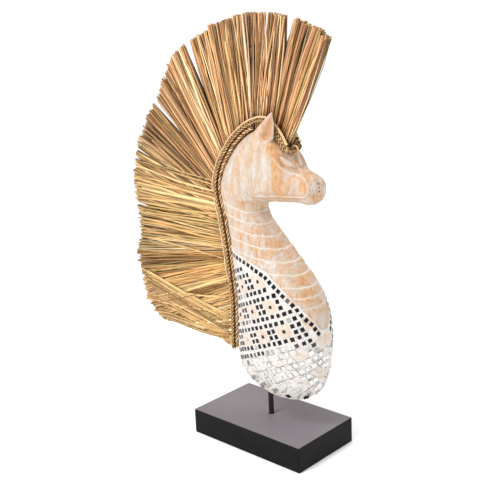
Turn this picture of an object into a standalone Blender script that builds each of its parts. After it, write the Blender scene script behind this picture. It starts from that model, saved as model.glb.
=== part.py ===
"""A carved horse bust with a grass mane, on a rod and a rectangular plinth.

Metres, +Z up. The origin is the middle of the plinth's underside, the plinth's long side runs along X
and the horse looks towards +X. The figure is symmetric about the plane Y = 0.
"""
import math

import bmesh
import bpy
import numpy as np
from mathutils import Vector

MM = 0.001
GAP = 0.0003
WELD = 0.00002
SMOOTH_BELOW = 38.0

# Plinth and rod
PLINTH_LENGTH = 0.200
PLINTH_DEPTH = 0.1194
PLINTH_HEIGHT = 0.0372
PLINTH_EDGE = 0.0016
ROD_RADIUS = 0.0038
ROD_SOCKET_DEPTH = 0.014
ROD_TOP = 0.096
ROD_SIDES = 16

# Cross sections of the carving from its foot to its nose, in millimetres: x and z of the front point,
# x and z of the back point, half the width, how much fuller the front is than the back, and the power
# of the section's superellipse. Sections 7 to 15 are nearly level, and later ones turn about the throat.
HORSE_SECTIONS = [
    (44, 75.5, 36, 75.5, 3, 0.0, 2.2),
    (60, 78, 14, 79, 15, 0.05, 2.2),
    (78, 87, -10, 85, 27, 0.10, 2.2),
    (92, 104, -31, 97, 35, 0.14, 2.2),
    (98, 126, -44, 114, 39.5, 0.16, 2.2),
    (101.5, 149, -49, 137, 41.5, 0.17, 2.2),
    (102.5, 174, -47.5, 168, 42.5, 0.18, 2.2),
    (99.5, 201, -46.5, 202, 42, 0.18, 2.2),
    (92.5, 225, -48.5, 230, 40.5, 0.17, 2.2),
    (81, 246, -51, 253, 38, 0.15, 2.2),
    (65.5, 264, -53, 273, 35, 0.12, 2.2),
    (49.5, 281, -55.5, 291, 32.5, 0.10, 2.2),
    (33.5, 297, -58, 308, 30.5, 0.08, 2.2),
    (17.5, 313, -61, 326, 29, 0.06, 2.2),
    (4.5, 328, -65, 342, 28, 0.05, 2.2),
    (0, 341, -68.5, 358, 28.5, 0.05, 2.2),
    (4, 348, -67.5, 376, 29.5, 0.06, 2.2),
    (12, 352, -60, 395, 31, 0.08, 2.2),
    (22, 354, -48, 413, 32, 0.08, 2.2),
    (33, 355, -32, 431, 32.5, 0.06, 2.3),
    (44, 355.5, -10, 446.5, 32, 0.04, 2.2),
    (53, 356, 14, 451.5, 31, 0.0, 2.3),
    (61, 356.5, 32, 444, 30, -0.03, 2.3),
    (68, 356.5, 45, 430, 28, -0.06, 2.3),
    (75, 356.5, 54.5, 415, 25.5, -0.08, 2.3),
    (81, 356, 66, 404, 22.5, -0.06, 2.3),
    (86.5, 356, 79.5, 398.5, 20.5, -0.02, 2.3),
    (91.5, 357.5, 90.5, 394.5, 19.5, 0.0, 2.3),
    (96, 361, 97, 389.5, 16.5, 0.0, 2.3),
    (99, 366.5, 99.5, 382.5, 10, 0.0, 2.2),
    (100.5, 373, 100.5, 376, 2, 0.0, 2.2),
]
POINTS_ROUND = 24
FINE_SECTIONS = 7
HEAD_SECTIONS = (15, 29)
BODY_SECTIONS = (2, 11)

# Rings cut round neck and chest: heights, half width and depth of each groove
RING_HEIGHTS = [0.345, 0.3295, 0.3135, 0.2975, 0.2815, 0.2655, 0.2495, 0.2360, 0.2225]
RING_HALF_WIDTH = 0.0014
RING_DEPTH = 0.0011
RING_CLEARANCE = 0.12

# Ears: base middle, tip, base half length along X, half thickness, and how thin the hollow leaves them
EAR_BASE = (0.0265, 0.0219, 0.4380)
EAR_TIP = (0.0425, 0.0225, 0.4770)
EAR_HALF_LENGTH = 0.0160
EAR_HALF_THICKNESS = 0.0057
EAR_HOLLOW = 0.45
EAR_TAPER = 1.3
EAR_SIDES = 12
EAR_LEVELS = 6

# Eye: middle, half length, half height, how far it stands out, slope of its axis, how pointed its corners are
EYE_MIDDLE = (0.0470, 0.4180)
EYE_HALF_LENGTH = 0.0160
EYE_HALF_HEIGHT = 0.0080
EYE_PROUD = 0.0016
EYE_SLOPE = 42.0
EYE_PINCH = 0.45

# Raised line round the cheek and over the nose, x and z in millimetres, on both sides
CHEEK_LINE = [(43, 419), (50, 412), (57, 404.5), (65, 399), (76, 396), (87, 391), (94, 380), (88.5, 370),
              (65, 368), (41, 366.5), (11, 364.5), (1, 370), (-7, 376), (-13, 387), (-15, 396)]
CHEEK_LINE_RADIUS = 0.0018
CHEEK_LINE_SUNK = 0.45

# Mosaic: the skin of grout, its upper border as x and z in millimetres, and its square mirror tiles
SKIN_PROUD = 0.0010
SKIN_SECTIONS = 11
SKIN_CUT_REACH = 0.15
SKIN_CUT_TOP = 0.40
BORDER_LINE = [(-62, 287), (-5, 277), (30, 265), (52, 250), (77, 230), (96, 205), (104, 180)]
BORDER_ROW_INSET = 0.0065
BORDER_ROW_START = 0.016
TILE_SIZE = 0.0058
TILE_PITCH = 0.0088
TILE_PROUD = 0.0007
TILE_DEPTH = 0.0012
# Lattice of diamonds below the border, in length round the body from its back and height
LATTICE_ORIGIN = (0.1090, 0.2195)
LATTICE_ACROSS = (0.0360, 0.0143)
LATTICE_DOWN = (0.0213, -0.0303)
LATTICE_LOWEST = 0.105
LATTICE_CELLS = 6
LATTICE_MISS = 0.003

# Mane: outer outline from its front corner over the top to its lower end, in millimetres
MANE_OUTLINE = [(120, 569), (104, 583), (60, 597), (16, 605), (-30, 604), (-66, 597), (-104, 581), (-150, 559),
                (-177, 534), (-200, 493), (-234, 454), (-256, 412), (-268, 365), (-266, 320), (-264, 282),
                (-274, 240), (-266, 190), (-250, 158), (-222, 136), (-178, 139), (-122, 139), (-66, 128)]
MANE_HALF_THICKNESS = 0.0082
# Share of that half thickness at four stages from the root to the tips
MANE_STAGES = ((0.0, 0.92), (0.45, 1.0), (0.82, 0.95), (1.0, 0.80))
# Where the mane's root starts and ends along the back, counted in cross sections
MANE_ROOT_START = 4.6
MANE_ROOT_END = 23.3
BUNDLES = 46
BUNDLE_RELIEF = 0.0022
BUNDLE_RAGGED = 0.0060
GOLDEN_ANGLE = 2.399
# Length missing at the bundles where the fan is slit
SLITS = {6: 0.055, 11: 0.020, 20: 0.060, 26: 0.025, 36: 0.018}

# Cords beside the mane's root: the plait with its waists, the thin twisted pair and the forehead binding
BRAID_RADIUS = 0.0037
BRAID_STEP = 0.0130
BRAID_WAIST = 0.84
BRAID_SAMPLES = 60
BRAID_CORNER = 0.0050
BRAID_CORNER_STEPS = 4
EDGE_CORD_RADIUS = 0.0021
EDGE_CORD_END = 20.3
EDGE_CORD_POINTS = 22
CORD_SIDES = 6
BINDING_RADIUS = 0.0012


def remove_everything():
    for scene_object in list(bpy.data.objects):
        bpy.data.objects.remove(scene_object, do_unlink=True)


def make_collection(name):
    collection = bpy.data.collections.new(name)
    bpy.context.scene.collection.children.link(collection)
    return collection


def make_material(name, colour, roughness, metallic=0.0):
    material = bpy.data.materials.new(name)
    material.use_nodes = True
    shader = material.node_tree.nodes["Principled BSDF"]
    shader.inputs["Base Color"].default_value = (*colour, 1.0)
    shader.inputs["Roughness"].default_value = roughness
    shader.inputs["Metallic"].default_value = metallic
    return material


def place(scene_object, collection, material):
    for old_collection in list(scene_object.users_collection):
        old_collection.objects.unlink(scene_object)
    collection.objects.link(scene_object)
    scene_object.data.materials.clear()
    scene_object.data.materials.append(material)
    return scene_object


def close_mesh(mesh):
    """Weld the mesh's seams and turn its faces outwards."""
    build = bmesh.new()
    build.from_mesh(mesh)
    bmesh.ops.remove_doubles(build, verts=build.verts, dist=WELD)
    bmesh.ops.recalc_face_normals(build, faces=build.faces)
    build.to_mesh(mesh)
    build.free()
    mesh.update()


def shade_round(mesh):
    mesh.shade_smooth()
    mesh.set_sharp_from_angle(angle=math.radians(SMOOTH_BELOW))


def object_from_faces(name, points, faces, collection, material):
    mesh = bpy.data.meshes.new(name)
    mesh.from_pydata([tuple(p) for p in points], [], faces)
    close_mesh(mesh)
    shade_round(mesh)
    return place(bpy.data.objects.new(name, mesh), collection, material)


def cylinder(name, radius, bottom, top, collection, material):
    """Upright cylinder on the axis of the plinth."""
    bpy.ops.mesh.primitive_cylinder_add(vertices=ROD_SIDES, radius=radius, depth=top - bottom,
                                        location=(0, 0, (top + bottom) / 2))
    solid = bpy.context.active_object
    solid.name = name
    shade_round(solid.data)
    return place(solid, collection, material)


def join_solid(target, tool, operation):
    """Boolean whose tool stays behind as a hidden wire object."""
    tool.hide_render = True
    tool.display_type = "WIRE"
    step = target.modifiers.new(f"{operation.lower()} {tool.name}", "BOOLEAN")
    step.operation = operation
    step.solver = "EXACT"
    step.object = tool


def smooth_row(rows, position):
    """Catmull-Rom value of a table's rows at a position counted in rows."""
    rows = np.asarray(rows, float)
    last = len(rows) - 1
    index = int(min(max(math.floor(position), 0), last - 1))
    t = position - index
    before = rows[max(index - 1, 0)]
    start = rows[index]
    end = rows[index + 1]
    after = rows[min(index + 2, last)]
    return 0.5 * (2 * start + (end - before) * t + (2 * before - 5 * start + 4 * end - after) * t ** 2
                  + (3 * start - before - 3 * end + after) * t ** 3)


def section(position):
    """Front point, back point, half width, fullness and power of the carving's section, in metres."""
    row = smooth_row(HORSE_SECTIONS, position)
    front = Vector((row[0], 0, row[1])) * MM
    back = Vector((row[2], 0, row[3])) * MM
    return front, back, row[4] * MM, row[5], row[6]


def section_point(position, angle, grow=0.0):
    """Point of a section; angle 0 is the front, 180 degrees the back, positive angles have Y > 0."""
    front, back, half_width, fullness, power = section(position)
    middle = (front + back) / 2
    reach = (front - back) / 2
    along = math.copysign(abs(math.cos(angle)) ** (2 / power), math.cos(angle))
    across = math.copysign(abs(math.sin(angle)) ** (2 / power), math.sin(angle))
    widened = half_width * (1 + fullness * along)
    side = Vector((0, (widened + grow) * across, 0))
    return middle + reach * along * (1 + grow / reach.length) + side


def surface_frame(position, angle):
    """Point, outward normal and the two directions along the surface."""
    small = 0.02
    point = section_point(position, angle)
    round_way = (section_point(position, angle + small) - section_point(position, angle - small)).normalized()
    up_way = (section_point(position + small, angle) - section_point(position - small, angle)).normalized()
    normal = round_way.cross(up_way).normalized()
    front, back = section(position)[:2]
    if normal.dot(point - (front + back) / 2) < 0:
        normal = -normal
    return point, normal, round_way, up_way


def section_grid(first, last, count, angles):
    """Positions, angles and points of the near side, Y < 0, on an even grid of the carving's skin."""
    cells = [(position, angle) for position in np.linspace(first, last, count) for angle in angles]
    points = np.array([section_point(position, angle) for position, angle in cells])
    return cells, points


def side_point(x, z, grid):
    """Position and angle on the carving's near side whose x and z are nearest to the given ones."""
    cells, points = grid
    nearest = np.argmin((points[:, 0] - x) ** 2 + (points[:, 2] - z) ** 2)
    return cells[nearest]


def position_at_height(height, low=7.0, high=15.0):
    """Section whose middle lies at a height, between two positions where the height rises."""
    for _ in range(40):
        middle = (low + high) / 2
        front, back = section(middle)[:2]
        if (front.z + back.z) / 2 < height:
            low = middle
        else:
            high = middle
    return (low + high) / 2


def horse_rings():
    """Positions of the loft's rings, each with the depth by which it is cut in."""
    last = len(HORSE_SECTIONS) - 1
    rings = [(k / 2, 0.0) for k in range(2 * FINE_SECTIONS)]
    rings += [(float(k), 0.0) for k in range(FINE_SECTIONS, last + 1)]
    for height in RING_HEIGHTS:
        lower = position_at_height(height - RING_HALF_WIDTH)
        upper = position_at_height(height + RING_HALF_WIDTH)
        rings = [ring for ring in rings if not lower - RING_CLEARANCE < ring[0] < upper + RING_CLEARANCE]
        rings += [(lower, 0.0), (position_at_height(height), RING_DEPTH), (upper, 0.0)]
    return sorted(rings)


def loft(name, rings, collection, material, grow=0.0):
    """Closed skin through the sections at the given positions."""
    points = []
    faces = []
    for position, depth in rings:
        for k in range(POINTS_ROUND):
            points.append(section_point(position, 2 * math.pi * k / POINTS_ROUND, grow - depth))
    for row in range(len(rings) - 1):
        for k in range(POINTS_ROUND):
            after = (k + 1) % POINTS_ROUND
            faces.append((row * POINTS_ROUND + k, row * POINTS_ROUND + after,
                          (row + 1) * POINTS_ROUND + after, (row + 1) * POINTS_ROUND + k))
    faces.append(tuple(range(POINTS_ROUND)))
    faces.append(tuple((len(rings) - 1) * POINTS_ROUND + k for k in range(POINTS_ROUND)))
    return object_from_faces(name, points, faces, collection, material)


def make_ear(name, side, collection, material):
    """Leaf-shaped ear: oval sections that shrink towards a tip, hollowed on the outer side."""
    base = Vector((EAR_BASE[0], EAR_BASE[1] * side, EAR_BASE[2]))
    tip = Vector((EAR_TIP[0], EAR_TIP[1] * side, EAR_TIP[2]))
    count = EAR_SIDES
    levels = EAR_LEVELS
    points = []
    faces = []
    for level in range(levels):
        t = level / levels
        shrink = 1 - t ** EAR_TAPER
        centre = base.lerp(tip, t)
        for k in range(count):
            angle = 2 * math.pi * k / count
            outward = math.sin(angle)
            in_the_hollow = outward > 0.8 and level > 0
            hollow = EAR_HOLLOW if in_the_hollow else 1.0
            points.append(centre + Vector((EAR_HALF_LENGTH * shrink * math.cos(angle),
                                           EAR_HALF_THICKNESS * shrink * outward * hollow * side, 0)))
    points.append(tip)
    for level in range(levels - 1):
        for k in range(count):
            after = (k + 1) % count
            faces.append((level * count + k, level * count + after,
                          (level + 1) * count + after, (level + 1) * count + k))
    top = (levels - 1) * count
    faces += [(top + k, top + (k + 1) % count, levels * count) for k in range(count)]
    faces.append(tuple(range(count)))
    return object_from_faces(name, points, faces, collection, material)


def make_eye(name, side, grid, collection, material):
    """Almond lens set into the side of the head."""
    position, angle = side_point(*EYE_MIDDLE, grid)
    point, normal, _, _ = surface_frame(position, angle)
    bpy.ops.mesh.primitive_uv_sphere_add(segments=12, ring_count=6, radius=1.0)
    eye = bpy.context.active_object
    eye.name = name
    depth = EYE_PROUD * 2
    slope = math.radians(EYE_SLOPE)
    length_way = Vector((math.cos(slope), 0, -math.sin(slope)))
    length_way = (length_way - normal * length_way.dot(normal)).normalized()
    height_way = normal.cross(length_way)
    for vertex in eye.data.vertices:
        x, y, z = vertex.co
        pinch = 1 - EYE_PINCH * x ** 2
        place_at = (point - normal * EYE_PROUD + length_way * x * EYE_HALF_LENGTH
                    + height_way * y * EYE_HALF_HEIGHT * pinch + normal * z * depth)
        vertex.co = Vector((place_at.x, place_at.y * -side, place_at.z))
    close_mesh(eye.data)
    return place(eye, collection, material)


def curve_tube(name, points, radius, sides, collection, material, radii=None):
    """Poly spline with a round bevel and filled caps, as in a bent wire."""
    curve = bpy.data.curves.new(name, "CURVE")
    curve.dimensions = "3D"
    curve.bevel_depth = radius
    curve.bevel_resolution = max((sides - 4) // 2, 0)
    curve.use_fill_caps = True
    curve.twist_mode = "MINIMUM"
    spline = curve.splines.new("POLY")
    spline.points.add(len(points) - 1)
    for index, point in enumerate(points):
        spline.points[index].co = (*point, 1.0)
        if radii is not None:
            spline.points[index].radius = radii[index]
    return place(bpy.data.objects.new(name, curve), collection, material)


def mesh_of_curve(tube, collection, material):
    """The tube as a mesh object with its caps welded, in place of the curve."""
    depsgraph = bpy.context.evaluated_depsgraph_get()
    mesh = bpy.data.meshes.new_from_object(tube.evaluated_get(depsgraph))
    close_mesh(mesh)
    name = tube.name
    solid = bpy.data.objects.new(name, mesh)
    solid.matrix_world = tube.matrix_world
    bpy.data.objects.remove(tube, do_unlink=True)
    solid.name = name
    return place(solid, collection, material)


def make_cheek_line(name, side, grid, collection, material):
    """Half-sunk bead that follows the cheek on the head's surface."""
    path = []
    for x, z in np.array(CHEEK_LINE) * MM:
        point, normal, _, _ = surface_frame(*side_point(x, z, grid))
        sunk = point - normal * CHEEK_LINE_RADIUS * CHEEK_LINE_SUNK
        path.append(Vector((sunk.x, sunk.y * -side, sunk.z)))
    tube = curve_tube(name, path, CHEEK_LINE_RADIUS, 4, collection, material)
    return mesh_of_curve(tube, collection, material)


def border_height(x):
    """Height of the mosaic's upper border at an x."""
    return float(np.interp(x, [MM * point[0] for point in BORDER_LINE], [MM * point[1] for point in BORDER_LINE]))


def make_skin(collection, material):
    """Grout skin: the lower body grown a little and cut off along the border."""
    rings = [(k / 2, 0.0) for k in range(2 * SKIN_SECTIONS + 1)]
    skin = loft("grout_skin", rings, collection, material, grow=SKIN_PROUD)
    outline = [(x * MM, z * MM) for x, z in BORDER_LINE]
    outline += [(SKIN_CUT_REACH, outline[-1][1]), (SKIN_CUT_REACH, SKIN_CUT_TOP),
                (-SKIN_CUT_REACH, SKIN_CUT_TOP), (-SKIN_CUT_REACH, outline[0][1])]
    count = len(outline)
    points = [Vector((x, y, z)) for y in (-SKIN_CUT_REACH, SKIN_CUT_REACH) for x, z in outline]
    faces = [tuple(range(count)), tuple(range(count, 2 * count))]
    faces += [(k, (k + 1) % count, count + (k + 1) % count, count + k) for k in range(count)]
    join_solid(skin, object_from_faces("above_border", points, faces, collection, material), "DIFFERENCE")
    return skin


def border_row():
    """Place and direction of each tile in the border row on the side Y < 0, from the back to the front."""
    lengths, positions, angles, points = border_samples(BORDER_ROW_INSET)
    places = []
    for reach in np.arange(BORDER_ROW_START, lengths[-1] - TILE_SIZE, TILE_PITCH):
        index = int(np.searchsorted(lengths, reach))
        position = np.interp(reach, lengths, positions)
        angle = np.interp(reach, lengths, angles)
        places.append((position, angle, Vector(points[index] - points[index - 1]).normalized()))
    return places


def diamond_middles():
    """Place and direction of the single tile in the middle of each diamond on the side Y < 0."""
    angles = np.linspace(math.pi, 2 * math.pi, 73)
    cells, points = section_grid(*BODY_SECTIONS, 120, angles)
    round_steps = np.linalg.norm(np.diff(points.reshape(-1, len(angles), 3), axis=1), axis=2)
    arcs = np.concatenate((np.zeros((len(round_steps), 1)), np.cumsum(round_steps, axis=1)), axis=1)
    arcs = arcs.ravel()
    places = []
    for across in range(-LATTICE_CELLS, LATTICE_CELLS + 1):
        for down in range(-LATTICE_CELLS, LATTICE_CELLS + 1):
            arc = LATTICE_ORIGIN[0] + across * LATTICE_ACROSS[0] + down * LATTICE_DOWN[0]
            height = LATTICE_ORIGIN[1] + across * LATTICE_ACROSS[1] + down * LATTICE_DOWN[1]
            miss = (arcs - arc) ** 2 + (points[:, 2] - height) ** 2
            nearest = int(np.argmin(miss))
            x, y, _ = points[nearest]
            inside = miss[nearest] < LATTICE_MISS ** 2 and y < -1.5 * TILE_SIZE
            below_border = height < border_height(x) - 3 * TILE_SIZE
            if inside and below_border and height > LATTICE_LOWEST and arc > BORDER_ROW_START:
                position, angle = cells[nearest]
                _, _, round_way, up_way = surface_frame(position, angle)
                direction = round_way * LATTICE_ACROSS[0] + up_way * LATTICE_ACROSS[1]
                places.append((position, angle, direction.normalized()))
    return places


def border_samples(inset):
    """Points of the lower body's surface along the border, from the back to the front."""
    positions = []
    angles = []
    points = []
    for angle in np.linspace(math.pi + 0.02, 2 * math.pi - 0.02, 90):
        low, high = BODY_SECTIONS
        for _ in range(30):
            middle = (low + high) / 2
            point = section_point(middle, angle)
            if point.z + inset < border_height(point.x):
                low = middle
            else:
                high = middle
        positions.append(low)
        angles.append(angle)
        points.append(np.array(section_point(low, angle)))
    steps = np.linalg.norm(np.diff(np.array(points), axis=0), axis=1)
    return np.concatenate(([0.0], np.cumsum(steps))), positions, angles, points


def make_tiles(collection, material):
    """Small square plates that stand a little out of the grout, on both sides."""
    points = []
    faces = []
    half = TILE_SIZE / 2
    for position, angle, ahead in border_row() + diamond_middles():
        point, normal, _, _ = surface_frame(position, angle)
        ahead = (ahead - normal * ahead.dot(normal)).normalized()
        beside = normal.cross(ahead)
        outer = point + normal * (SKIN_PROUD + TILE_PROUD)
        inner = point + normal * (SKIN_PROUD - TILE_DEPTH)
        for side in (-1, 1):
            first = len(points)
            for layer in (inner, outer):
                for a, b in ((-1, -1), (1, -1), (1, 1), (-1, 1)):
                    corner = layer + ahead * a * half + beside * b * half
                    points.append(Vector((corner.x, corner.y * -side, corner.z)))
            faces += [tuple(first + k for k in quad) for quad in
                      ((0, 1, 2, 3), (4, 5, 6, 7), (0, 1, 5, 4), (1, 2, 6, 5), (2, 3, 7, 6), (3, 0, 4, 7))]
    return object_from_faces("mirror_tiles", points, faces, collection, material)


def make_horse(parts, cutters, material):
    horse = loft("carved_horse", horse_rings(), parts, material)
    join_solid(horse, make_skin(cutters, material), "UNION")
    head_grid = section_grid(*HEAD_SECTIONS, 225, np.linspace(math.pi, 2 * math.pi, 61))
    for side, word in ((-1, "near"), (1, "far")):
        join_solid(horse, make_ear(f"ear_{word}", side, cutters, material), "UNION")
        join_solid(horse, make_eye(f"eye_{word}", side, head_grid, cutters, material), "UNION")
        join_solid(horse, make_cheek_line(f"cheek_line_{word}", side, head_grid, cutters, material), "UNION")
    join_solid(horse, make_tiles(cutters, material), "UNION")
    hole = cylinder("rod_hole", ROD_RADIUS + GAP, PLINTH_HEIGHT, ROD_TOP + GAP, cutters, material)
    join_solid(horse, hole, "DIFFERENCE")
    return horse


def make_plinth(parts, cutters, material):
    bpy.ops.mesh.primitive_cube_add(size=1.0)
    plinth = bpy.context.active_object
    plinth.name = "plinth"
    size = Vector((PLINTH_LENGTH, PLINTH_DEPTH, PLINTH_HEIGHT))
    for vertex in plinth.data.vertices:
        vertex.co = Vector([vertex.co[k] * size[k] for k in range(3)])
    plinth.location = (0, 0, PLINTH_HEIGHT / 2)
    rounding = plinth.modifiers.new("eased edges", "BEVEL")
    rounding.width = PLINTH_EDGE
    rounding.segments = 2
    socket = cylinder("rod_socket", ROD_RADIUS + GAP, PLINTH_HEIGHT - ROD_SOCKET_DEPTH,
                      PLINTH_HEIGHT + ROD_SOCKET_DEPTH, cutters, material)
    join_solid(plinth, socket, "DIFFERENCE")
    return place(plinth, parts, material)


def make_rod(parts, material):
    return cylinder("rod", ROD_RADIUS, PLINTH_HEIGHT - ROD_SOCKET_DEPTH + GAP, ROD_TOP, parts, material)


def root_point(position, away):
    """Point on the back of the carving, moved away from it by a distance, in the plane Y = 0."""
    small = 0.05
    back = section(position)[1]
    along = (section(position + small)[1] - section(position - small)[1]).normalized()
    outward = Vector((-along.z, 0, along.x))
    return back + outward * away


def mane_rows():
    """Root and outer point of every line along the mane, with its relief at that line."""
    rows = []
    lines = 2 * BUNDLES + 1
    for line in range(lines):
        t = line / (lines - 1)
        position = MANE_ROOT_END + (MANE_ROOT_START - MANE_ROOT_END) * t
        root = root_point(position, GAP * 2 + SKIN_PROUD)
        x, z = smooth_row(MANE_OUTLINE, t * (len(MANE_OUTLINE) - 1)) * MM
        outer = Vector((x, 0, z))
        ragged = BUNDLE_RAGGED * math.sin(line * GOLDEN_ANGLE) * math.cos(line * 0.71)
        shorter = abs(ragged) + SLITS.get(line // 2, 0.0) * (line % 2)
        outer = outer + (root - outer).normalized() * shorter
        crest = BUNDLE_RELIEF * (line % 2)
        rows.append((root, outer, crest))
    return rows


def make_mane(parts, material):
    """Fan of bundles: a slab between the root line and the ragged outline, fluted along the stalks."""
    rows = mane_rows()
    points = []
    faces = []
    for root, outer, crest in rows:
        ring = []
        for stage, share in MANE_STAGES:
            point = root.lerp(outer, stage)
            half = MANE_HALF_THICKNESS * share - crest
            ring.append(point + Vector((0, -half, 0)))
        ring += [Vector((p.x, -p.y, p.z)) for p in reversed(ring)]
        points += ring
    count = 2 * len(MANE_STAGES)
    for line in range(len(rows) - 1):
        for k in range(count):
            after = (k + 1) % count
            faces.append((line * count + k, line * count + after,
                          (line + 1) * count + after, (line + 1) * count + k))
    faces.append(tuple(range(count)))
    faces.append(tuple((len(rows) - 1) * count + k for k in range(count)))
    return object_from_faces("grass_mane", points, faces, parts, material)


def side_path(away, beside, start, end, count):
    """Points beside the mane's root, at a distance from the back line and from the plane Y = 0."""
    path = []
    for k in range(count):
        position = start + (end - start) * k / (count - 1)
        point = root_point(position, away)
        path.append(Vector((point.x, -beside, point.z)))
    return path


def even_path(points, spacing):
    """The same path with points at an even spacing."""
    points = np.array([tuple(p) for p in points])
    lengths = np.concatenate(([0.0], np.cumsum(np.linalg.norm(np.diff(points, axis=0), axis=1))))
    count = int(round(lengths[-1] / spacing))
    wanted = np.linspace(0, lengths[-1], count + 1)
    return [Vector([np.interp(w, lengths, points[:, axis]) for axis in range(3)]) for w in wanted]


def hairpin_path(away, beside, start, end):
    """Up the near side, straight across the mane's front edge between two round corners, down the far side."""
    near = even_path(side_path(away, beside, start, end, BRAID_SAMPLES), BRAID_STEP / 2)
    last = near[-1]
    forward = (near[-1] - near[-2]).normalized()
    for turn in np.linspace(0, math.pi / 2, BRAID_CORNER_STEPS)[1:]:
        inwards = Vector((0, BRAID_CORNER * (1 - math.cos(turn)), 0))
        near.append(last + forward * BRAID_CORNER * math.sin(turn) + inwards)
    crossing = Vector((near[-1].x, 0, near[-1].z))
    far = [Vector((p.x, -p.y, p.z)) for p in reversed(near)]
    return near + [crossing] + far


def make_binding(path, parts, material):
    """Ring of wound stalk round the plait where it crosses in front of the mane."""
    foremost = min(path, key=lambda point: abs(point.y))
    bpy.ops.mesh.primitive_torus_add(major_radius=BRAID_RADIUS + GAP * 2 + BINDING_RADIUS,
                                     minor_radius=BINDING_RADIUS, major_segments=12, minor_segments=5)
    ring = bpy.context.active_object
    ring.name = "forehead_wrap"
    ring.location = (foremost.x, 0, foremost.z)
    ring.rotation_euler = (math.pi / 2, 0, 0)
    shade_round(ring.data)
    place(ring, parts, material)


def make_cords(parts, braid_material, cord_material):
    braid_side = MANE_HALF_THICKNESS + BRAID_RADIUS + GAP
    braid_away = SKIN_PROUD + EDGE_CORD_RADIUS * 2 + BRAID_RADIUS + GAP * 2
    path = hairpin_path(braid_away, braid_side, MANE_ROOT_START + 0.1, MANE_ROOT_END)
    radii = [1.0 if k % 2 else BRAID_WAIST for k in range(len(path))]
    curve_tube("braided_cord", path, BRAID_RADIUS, CORD_SIDES, parts, braid_material, radii)
    for side, word in ((1, "near"), (-1, "far")):
        cord_side = MANE_HALF_THICKNESS + EDGE_CORD_RADIUS + GAP
        cord = side_path(EDGE_CORD_RADIUS + SKIN_PROUD, cord_side, MANE_ROOT_START + 0.2, EDGE_CORD_END,
                         EDGE_CORD_POINTS)
        cord = [Vector((p.x, p.y * side, p.z)) for p in cord]
        curve_tube(f"edge_cord_{word}", cord, EDGE_CORD_RADIUS, CORD_SIDES, parts, cord_material)
    make_binding(path, parts, cord_material)


def main():
    remove_everything()
    parts = make_collection("horse_figurine")
    cutters = make_collection("cutters")
    wood = make_material("limed_wood", (0.86, 0.70, 0.55), 0.7)
    straw = make_material("dry_grass", (0.72, 0.52, 0.28), 0.65)
    braid = make_material("plaited_grass", (0.55, 0.42, 0.22), 0.7)
    cord = make_material("twisted_cord", (0.50, 0.32, 0.16), 0.75)
    stain = make_material("black_stained_wood", (0.045, 0.040, 0.042), 0.45)
    steel = make_material("black_steel", (0.02, 0.02, 0.02), 0.35, 1.0)
    make_plinth(parts, cutters, stain)
    make_rod(parts, steel)
    make_horse(parts, cutters, wood)
    make_mane(parts, straw)
    make_cords(parts, braid, cord)


main()
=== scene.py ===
import math
import bpy
import numpy as np
from mathutils import Matrix, Vector


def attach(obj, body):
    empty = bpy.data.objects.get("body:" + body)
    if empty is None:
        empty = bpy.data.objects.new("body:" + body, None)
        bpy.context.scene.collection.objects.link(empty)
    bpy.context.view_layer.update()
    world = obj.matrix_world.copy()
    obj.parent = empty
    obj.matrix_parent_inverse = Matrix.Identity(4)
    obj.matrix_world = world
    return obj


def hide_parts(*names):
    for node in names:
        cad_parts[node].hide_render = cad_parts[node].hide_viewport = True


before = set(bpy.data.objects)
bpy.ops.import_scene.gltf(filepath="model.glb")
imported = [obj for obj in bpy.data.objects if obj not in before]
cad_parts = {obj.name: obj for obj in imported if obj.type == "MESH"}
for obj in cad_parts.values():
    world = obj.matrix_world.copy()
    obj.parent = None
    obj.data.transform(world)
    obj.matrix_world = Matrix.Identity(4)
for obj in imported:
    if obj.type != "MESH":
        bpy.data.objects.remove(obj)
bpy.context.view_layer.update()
mm = 0.001
fullTurn = 2 * math.pi


# Camera and light

photoView = {
    "azimuth": 43.8644,
    "elevation": 14.4592,
    "roll": -2.7257,
    "distance": 1.2775,
    "aside": -0.0476,
    "above": 0.2870,
    "focalPixels": 872.91,
    "framePixels": 480,
    "sensor": 36.0,
}


def viewAxes(azimuth, elevation, roll):
    # towards the camera from its azimuth and elevation, right and up turned by the roll
    a = math.radians(azimuth)
    e = math.radians(elevation)
    r = math.radians(roll)
    back = Vector((math.sin(a) * math.cos(e), -math.cos(a) * math.cos(e), math.sin(e)))
    level = Vector((math.cos(a), math.sin(a), 0))
    rise = back.cross(level)
    right = level * math.cos(r) + rise * math.sin(r)
    up = rise * math.cos(r) - level * math.sin(r)
    return right, up, back


def makeCamera(view):
    right, up, back = viewAxes(view["azimuth"], view["elevation"], view["roll"])
    place = right * view["aside"] + up * view["above"] + back * view["distance"]
    lens = bpy.data.cameras.new("photo_camera")
    lens.sensor_width = view["sensor"]
    lens.lens = view["focalPixels"] / view["framePixels"] * view["sensor"]
    lens.clip_start = 0.01
    camera = bpy.data.objects.new("photo_camera", lens)
    bpy.context.scene.collection.objects.link(camera)
    turn = Matrix((right, up, back)).transposed().to_4x4()
    camera.matrix_world = Matrix.Translation(place) @ turn
    bpy.context.scene.camera = camera


studio = {
    "floorSize": 14.0,
    "floorTone": (0.985, 0.985, 0.985),
    "skyStrength": 1.02,
    "lamps": [
        # azimuth, elevation, distance, size, watts
        (-8, 48, 2.2, 0.7, 32),
        (205, 62, 2.4, 1.2, 12),
    ],
    "aim": (0.0, 0.0, 0.30),
}


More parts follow.
